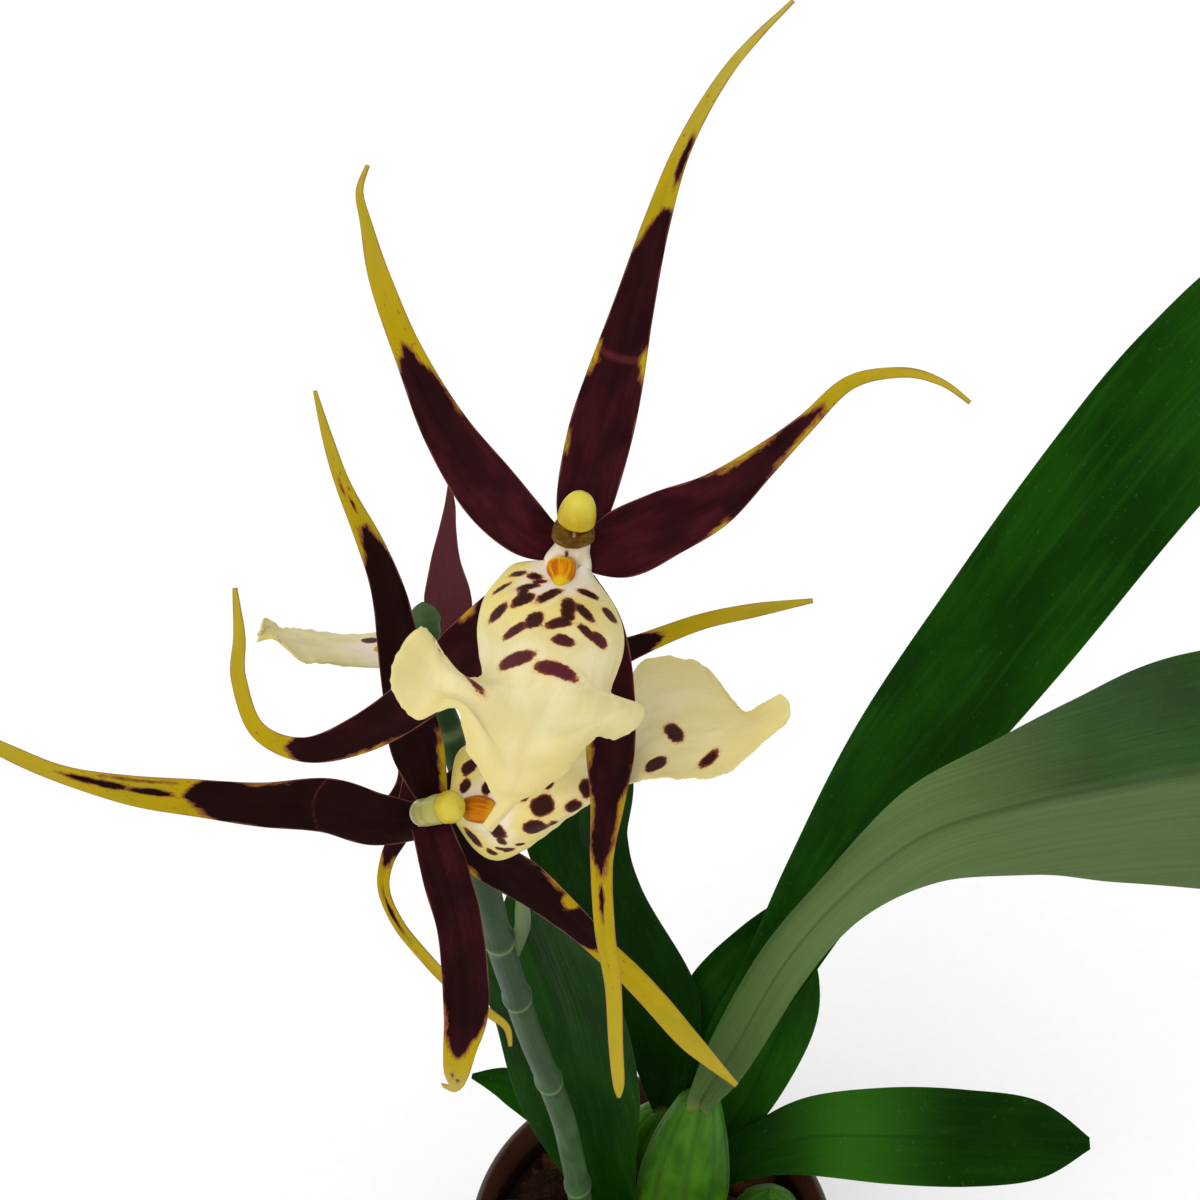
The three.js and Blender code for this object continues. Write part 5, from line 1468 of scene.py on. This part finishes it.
def make_tip_bud():
    """The bud at the growing end of the spike, with the ridges of its tight scales."""
    def swell(share, angle, length):
        scales = 0.05 * np.sin(3 * angle + 9 * share) + 0.03 * np.sin(30 * share)
        return (1 + scales) * round_off(share, length, end=2)

    rings, share, angle, length = stem_rings("tip_bud", TIP_BUD_ROWS, swell)
    marks = {
        "strip": stem_strip("tip_bud", angle, share, length, 6),
        "pale": 0.1 * share,
        "dusk": np.full_like(share, 0.3),
    }
    add_piece("spike_tip_bud", "spike", closed_rings(rings, marks))


def make_bracts():
    """Two papery bracts that stand against the spike at its joints."""
    for seed, (name, bract) in enumerate(BRACTS.items()):
        grid, _, share, across, length, width = blade_grid(
            "bract", name, bract["rows"], bract["facing"], bract["facing"], BRACT_CUP, ROUND_KEEL,
            SMALL_SWAY)
        marks = {
            "strip": strip_of(across * width / 2, share * length, seed),
            "pale": 0.1 + 0.3 * share,
            "dusk": np.full_like(share, 0.3),
        }
        half = blade_half(BRACT_THICKNESS, share, across)
        add_piece(name, "spike", closed_sheet(grid, half, marks, front_sign=-1))


# ---- Flowers ---------------------------------------------------------------------------------------
def to_plant(points, centre):
    """Points of a flower's own plane (x right, y up, z out of its face) moved to the plant."""
    y, z = rolled(points[..., 1], points[..., 2], FLOWER_LEAN)
    return np.stack([points[..., 0], y, z], axis=-1) + np.array(centre)


def maroon_distance(marking, share, across, length, width):
    """How far inside the maroon each point of a sepal or petal lies, in mm. It is below 0 in the
    yellow tail and the notches of the margin."""
    bend = 1.5
    along = share * length
    half_width = width / 2
    sideways = across * half_width
    point, lean = marking["point"], marking.get("lean", 0)
    border = marking["end"] * length + point * (0.5 - np.abs(across) ** bend) + lean * across
    slope = lean - bend * point * np.abs(across) ** (bend - 1) * np.sign(across)
    inside = (border - along) / np.sqrt(1 + (slope / np.maximum(half_width, 1)) ** 2)
    for place, side, half_length, depth in marking.get("notches", []):
        edge_distance = half_width - side * sideways
        bite = np.hypot((along - place * length) / half_length, edge_distance / depth)
        inside = np.minimum(inside, (bite - 1) * depth)
    for place, side, half_length, half_dash in marking.get("dashes", []):
        off = sideways - side * half_width
        dash = np.hypot((along - place * length) / half_length, off / half_dash)
        inside = np.maximum(inside, 2 * (1 - dash) * half_dash + 0.2 * (dash < 1))
    return inside


def arc_distance(arcs, share, across, length):
    """How far each point lies from the nearest crease, in half widths of that crease."""
    bow_height = 0.012
    distance = np.full_like(share, FAR)
    for place, bow, half_width in arcs:
        line = place + bow_height * bow * across ** 2
        distance = np.minimum(distance, np.abs(share - line) * length / half_width)
    return distance


def make_tepal(where, kind, rows, centre):
    """One sepal or petal: a narrow blade with a long drawn-out tail."""
    name = f"{where}_{kind}"
    marking = MARKINGS[name]
    is_sepal = "sepal" in kind
    cup, thickness = (SEPAL_CUP, SEPAL_THICKNESS) if is_sepal else (PETAL_CUP, PETAL_THICKNESS)
    grid, up, share, across, length, width = blade_grid(
        "tepal", name, rows, OUTWARD, OUTWARD, cup, ROUND_KEEL, SMALL_SWAY)
    along = share * length
    from_middle = across * width / 2
    groove_depth, groove_reach, pleat_height = 0.16, 0.5, 0.05
    groove = groove_depth * np.exp(-(from_middle / groove_reach) ** 2) * smooth_step(share, 0.9, 0.5)
    pleats = pleat_height * waves(from_middle, 4, 3.4, 1.4, length) * smooth_step(width, 2, 6)
    grid = grid + up[:, None] * (pleats - groove)[..., None]
    rim_unevenness = 1 + 0.5 * waves(along, 4, 13, 4, length)
    dusk = marking["dusk"]
    marks = {
        "strip": strip_of(from_middle, along, name),
        "maroon": maroon_distance(marking, share, across, length, width),
        "rim": width / 2 * (1 - np.abs(across)) / rim_unevenness,
        "tail": marking.get("fade", USUAL_FADE) * smooth_step(share, marking["end"], 1.0),
        # Lighter painted highlight along the faint creases.
        "arc": arc_distance(marking.get("arcs", []), share, across, length),
        # Painted shade, deeper beyond the base of the blade.
        "dusk": dusk + (1 - dusk) * 0.5 * smooth_step(share, 0.2, 0.5),
        "pallor": np.full_like(share, marking.get("pallor", 0.0)),
    }
    half = blade_half(thickness, share, across)
    solid = closed_sheet(to_plant(grid, centre), half, marks, front_sign=-1)
    add_piece(name, "tepal", solid)


def oval_distance(grid, place, side, half_length, half_width, turn):
    """How far inside an oval on a sheet each point lies, in mm, below 0 outside it."""
    bluntness, depth = 2.5, 2.5
    rows, columns = grid.shape[:2]
    i = int(np.clip(round(place * (rows - 1)), 1, rows - 2))
    j = int(np.clip(round(side * (columns - 1)), 1, columns - 2))
    along = unit(grid[i + 1, j] - grid[i - 1, j])
    across = grid[i, j + 1] - grid[i, j - 1]
    across = unit(across - along * np.dot(across, along))
    offset = grid - grid[i, j]
    long_way, short_way = rolled(offset @ along, offset @ across, -math.radians(turn))
    off = offset @ np.cross(along, across)
    parts = (long_way / half_length, short_way / half_width, off / (depth * half_length))
    reach = sum(np.abs(part) ** bluntness for part in parts) ** (1 / bluntness)
    return (1 - reach) * half_width


def make_callus(rows, flat_marks):
    """A lip's callus: a blunt ridged lump on rows [x, y, z, half width, half height]. It carries the
    same marks as the lip, as plain values."""
    ridges, ridge_height = 9, 0.07

    def swell(share, angle, length):
        ridged = ridge_height * np.cos(ridges * angle) * smooth_step(np.sin(angle), -0.2, 0.5)
        return (1 + ridged) * round_off(share, length, start=0.8, end=0.6)

    wide = unit(np.cross(np.subtract(rows[-1][:3], rows[0][:3]), OUTWARD))
    rings, share, angle, length = stem_rings("callus", rows, swell, wide)
    marks = {name: np.full_like(share, value) for name, value in flat_marks.items()}
    marks["strip"] = stem_strip("callus", angle, share, length, length)
    marks["callus"] = 1.0 + smooth_step(share, 0.02, 0.3) * smooth_step(share, 0.95, 0.55)
    return closed_rings(rings, marks)


def fold_lift(grid, folds):
    """How far the fold lines raise a sheet, in mm."""
    rows, columns = grid.shape[:2]
    lift = np.zeros((rows, columns))
    for along, across, end_along, end_across, height, half_width in folds:
        start = grid[round(along * (rows - 1)), round(across * (columns - 1))]
        line = grid[round(end_along * (rows - 1)), round(end_across * (columns - 1))] - start
        reach = np.clip((grid - start) @ line / (line @ line), 0, 1)
        distance = np.linalg.norm(grid - start - reach[..., None] * line, axis=2)
        lift = lift + height * bell(distance, half_width)
    return lift


def lip_grid(net):
    """The smooth sheet through a net of points, and each point's share along and share across."""
    rows, columns = MESH["lip"]
    share, side = np.meshgrid(np.linspace(0, 1, rows), np.linspace(0, 1, columns), indexing="ij")
    lengthwise = smooth_rows(net, share[:, 0])
    grid = smooth_rows(np.swapaxes(lengthwise, 0, 1), side[0])
    return np.swapaxes(grid, 0, 1).copy(), share, side


def make_lip(where, flower):
    """A lip: humped spotted base with its callus, spread side flaps with crinkled edges, and a
    channelled tongue."""
    grid, share, side = lip_grid(flower["lip"])
    columns = grid.shape[1]
    normal = unit(np.cross(np.gradient(grid, axis=0), np.gradient(grid, axis=1)))
    inward = unit(np.gradient(grid, axis=1)) * np.sign(0.5 - side)[..., None]
    edge = np.abs(2 * side - 1)
    along = np.broadcast_to(run_length(grid[:, columns // 2])[:, None], share.shape)
    sideways = np.cumsum(np.linalg.norm(np.diff(grid, axis=1), axis=2), axis=1)
    sideways = np.concatenate([np.zeros((len(grid), 1)), sideways], axis=1)
    sideways = sideways - sideways[:, columns // 2][:, None]
    left_run, right_run = (run_length(grid[:, column])[:, None] for column in (0, -1))
    rim_run = np.where(side < 0.5, left_run, right_run)
    free = smooth_step(share, 0.2, 0.42) * smooth_step(share, 1.0, 0.9)
    ruffle_height, crinkle_height = 0.28, 0.13
    ruffle = ruffle_height * free * edge ** 6 * waves(rim_run, 5, 11, 3.5, f"{where} ruffle")
    crinkle = crinkle_height * free * edge ** 16 * waves(rim_run, 6, 2.2, 0.9, f"{where} crinkle")
    lift = ruffle + fold_lift(grid, LIP_FOLDS[where])
    grid = grid + normal * lift[..., None] + inward * crinkle[..., None]

    spots = np.full_like(share, -FAR)
    spread = 0.2
    for place, beside, half_length, half_width, turn in LIP_SPOTS[where]:
        spot = oval_distance(grid, place, beside, half_length, half_width + spread, turn)
        spots = np.maximum(spots, spot)
    from_callus = np.linalg.norm(grid - np.mean(flower["callus"], axis=0)[:3], axis=2)
    brownness = flower["spot_brownness"]
    shoulder = smooth_step(share, flower["shoulder_end"], 0.1)
    marks = {
        "strip": strip_of(sideways, along, where),
        "spot": spots,
        "callus": np.zeros_like(share),
        "shoulder": 0.85 * shoulder * smooth_step(from_callus, 4, 9),
        "brown": np.maximum(smooth_step(share, 0.33, 0.14), brownness),
        "blush": 0.9 * smooth_step(from_callus, 11, 3),
        # Painted shade down the middle of the tongue.
        "centre_line": bell(side - 0.5, 0.035) * smooth_step(share, 0.3, 0.5),
        "ripe": 0.8 * np.clip(smooth_step(share, 0.45, 0.95) + 0.6 * edge ** 3 * free, 0, 1),
    }
    half = LIP_THICKNESS / 2 * np.sqrt(np.clip(1 - edge ** 10, 0, 1)) * (1 - 0.25 * share)
    centre = flower["centre"]
    sheet = closed_sheet(to_plant(grid, centre), half, marks)
    plain = {**{name: 0.0 for name in marks}, "brown": brownness, "spot": -FAR, "face": 1.0}
    points, faces, callus_marks = make_callus(flower["callus"], plain)
    callus = (to_plant(points, centre), faces, callus_marks)
    add_piece(f"{where}_lip", "lip", joined([sheet, callus]))


def make_column(where, flower):
    """The column: a short thick stalk with spread feet and a two-lobed olive collar."""
    collar_start = flower["collar_start"]
    left_lobe, right_lobe, underside = -145, -35, -90
    lobe_height, cleft_depth, waist_depth = 0.16, 0.12, 0.1

    def lobe(angle, at, spread):
        return bell(wrapped(angle, at), math.radians(spread))

    def swell(share, angle, length):
        collar = smooth_step(share, collar_start - 0.08, collar_start + 0.1)
        lobes = lobe(angle, right_lobe, 40) + lobe(angle, left_lobe, 40)
        cleft = lobe(angle, underside, 24)
        shape = 1 + collar * (lobe_height * lobes - cleft_depth * cleft)
        for direction, reach in flower["feet"]:
            shape = shape + reach * smooth_step(share, 0.5, 0.05) * lobe(angle, direction, 34)
        shape = shape - waist_depth * bell(share - 0.5, 0.18)
        return shape * round_off(share, length, end=0.9)

    rings, share, angle, length = stem_rings("column", flower["column"], swell)
    scallop = 0.3 * np.cos(2 * angle - math.pi)
    to_mouth = np.hypot((1 - share) * length - 0.25, 2.2 * wrapped(angle, underside))
    marks = {
        "strip": stem_strip("column", angle, share, length, where),
        "collar": (share - collar_start) * length + scallop,
        "green": smooth_step(share, -0.1, 0.3) * flower["greenness"],
        "mouth": 0.75 - to_mouth,
        "pit": np.full_like(share, -FAR),
    }
    # The pit is painted shade in the hollow under the column.
    if "pit" in flower:
        x, y, half_width, half_height, behind = flower["pit"]
        off = np.hypot((rings[..., 0] - x) / half_width, (rings[..., 1] - y) / half_height)
        marks["pit"] = np.where(rings[..., 2] > behind, 0.3 * (1 - off), -FAR)
    centre = flower["centre"]
    wings = [make_wing(rows, centre) for rows in flower.get("wings", [])]
    column = closed_rings(to_plant(rings, centre), marks)
    add_piece(f"{where}_column", "column", joined([column, *wings]))


def make_wing(rows, centre):
    """One of the two rounded wings of the olive collar, which stand up beside the cap."""
    def swell(share, angle, length):
        return round_off(share, length, start=0.5, end=1.2)

    rings, share, angle, length = stem_rings("wing", rows, swell)
    marks = {"strip": stem_strip("wing", angle, share, length, str(rows[0]))}
    for name, value in {"collar": 2.0, "green": 0.0, "mouth": -FAR, "pit": -FAR}.items():
        marks[name] = np.full_like(share, value)
    return closed_rings(to_plant(rings, centre), marks)


def make_cap(where, flower):
    """The anther cap: an egg-shaped hood with a shallow crest and a rounded lip."""
    crest_height, crease_depth = 0.05, 0.05
    cap = flower["cap"]
    axis = unit(np.array(cap["axis"], float))
    rows = []
    for degrees in CAP_LATITUDES:
        angle = math.radians(degrees)
        middle = np.array(cap["base"]) + axis * cap["height"] * math.sin(angle)
        rows.append([*middle, cap["radius"] * math.cos(angle)])

    def swell(share, angle, length):
        crest = crest_height * bell(wrapped(angle, 90), 0.5) * smooth_step(share, 0.1, 0.5)
        crease = crease_depth * bell(wrapped(angle, -90), 0.22) * smooth_step(share, 0.7, 0.2)
        return (1 + crest - crease) * round_off(share, length, start=1.2, end=1.2)

    rings, share, angle, length = stem_rings("cap", rows, swell)
    marks = {
        "strip": stem_strip("cap", angle, share, length, where),
        "rise": smooth_step(share, 0.25, 0.95),
    }
    solid = closed_rings(to_plant(rings, flower["centre"]), marks)
    add_piece(f"{where}_anther_cap", "cap", solid)


def make_ovary(where, flower):
    """The ovary behind a flower, six-ribbed and slightly twisted, on its slender stalk."""
    ribs, rib_height, twist = 6, 0.09, 2.5

    def swell(share, angle, length):
        ribbing = np.cos(ribs * angle + twist * share)
        return 1 + rib_height * ribbing * smooth_step(share, 0.9, 0.3)

    rings, share, angle, length = stem_rings("ovary", flower["ovary"], swell)
    marks = {
        "strip": stem_strip("ovary", angle, share, length, where),
        "pale": 0.35 * (1 - share),
        "dusk": np.zeros_like(share),
    }
    solid = closed_rings(to_plant(rings, flower["centre"]), marks)
    add_piece(f"{where}_ovary", "spike", solid)


def make_flowers():
    """All three flowers, piece by piece."""
    for where, flower in FLOWERS.items():
        for kind, rows in flower["tepals"].items():
            make_tepal(where, kind, rows, flower["centre"])
        for make_part in (make_lip, make_column, make_cap, make_ovary):
            make_part(where, flower)


make_pot()
make_bark()
make_bulbs()
make_leaves()
make_spike()
make_tip_bud()
make_bracts()
make_flowers()

# ---- Floor, lights and camera ----------------------------------------------------------------------
def floor_board():
    """The floor: smooth matt off-white board."""
    material, tree = new_material("floor_board")
    where = add(tree, "TexCoord", pick="Object")
    mottle = grain(tree, where, (0.008, 0.008, 0.008), detail=2.0)
    tone = over(tree, "#fafafa", "#fcfcfc", mottle, -1.0, 1.0)
    finish(tree, tone, summed(tree, 0.0, (mottle, 0.02)), 0.8, ior=1.5, gloss=0.2)
    return material


def make_floor():
    """A wide flat floor under the pot."""
    half = 12.0
    mesh = bpy.data.meshes.new("floor")
    corners = [(-half, -half, 0), (half, -half, 0), (half, half, 0), (-half, half, 0)]
    mesh.from_pydata(corners, [], [(0, 1, 2, 3)])
    mesh.materials.append(floor_board())
    floor = bpy.data.objects.new("floor", mesh)
    bpy.context.scene.collection.objects.link(floor)


def add_lamp(name, kind, place, energy, **shape):
    """A lamp at a place, pointed at the middle of the plant."""
    middle = Vector((0.0, -0.05, 0.35))
    lamp = bpy.data.lights.new(name, kind)
    lamp.energy = energy
    for setting, value in shape.items():
        setattr(lamp, setting, value)
    holder = bpy.data.objects.new(name, lamp)
    holder.location = place
    holder.rotation_euler = (middle - Vector(place)).to_track_quat("-Z", "Y").to_euler()
    bpy.context.scene.collection.objects.link(holder)


def make_studio():
    """Pale even surroundings, a broad soft key from the upper left, and a weak fill."""
    world = bpy.data.worlds.new("studio")
    world.use_nodes = True
    background = world.node_tree.nodes["Background"]
    background.inputs["Color"].default_value = colour(WHITE)
    background.inputs["Strength"].default_value = 0.84
    bpy.context.scene.world = world
    add_lamp("key", "SUN", (-0.8, -1.2, 1.7), energy=1.15, angle=math.radians(50))
    add_lamp("fill", "AREA", (1.3, -1.1, 0.8), energy=1.0, size=1.4)
    bpy.context.scene.view_settings.view_transform = "Standard"


def make_camera():
    """The camera, in front of the flowers and above them, looking down at the pot."""
    lens = bpy.data.cameras.new("camera")
    lens.lens = 42
    lens.sensor_width = 36
    lens.clip_start = 0.01
    camera = bpy.data.objects.new("camera", lens)
    camera.location = (-0.020, -0.300, 0.620)
    camera.rotation_euler = (math.radians(55), 0, 0)
    bpy.context.scene.collection.objects.link(camera)
    bpy.context.scene.camera = camera


make_floor()
make_studio()
make_camera()
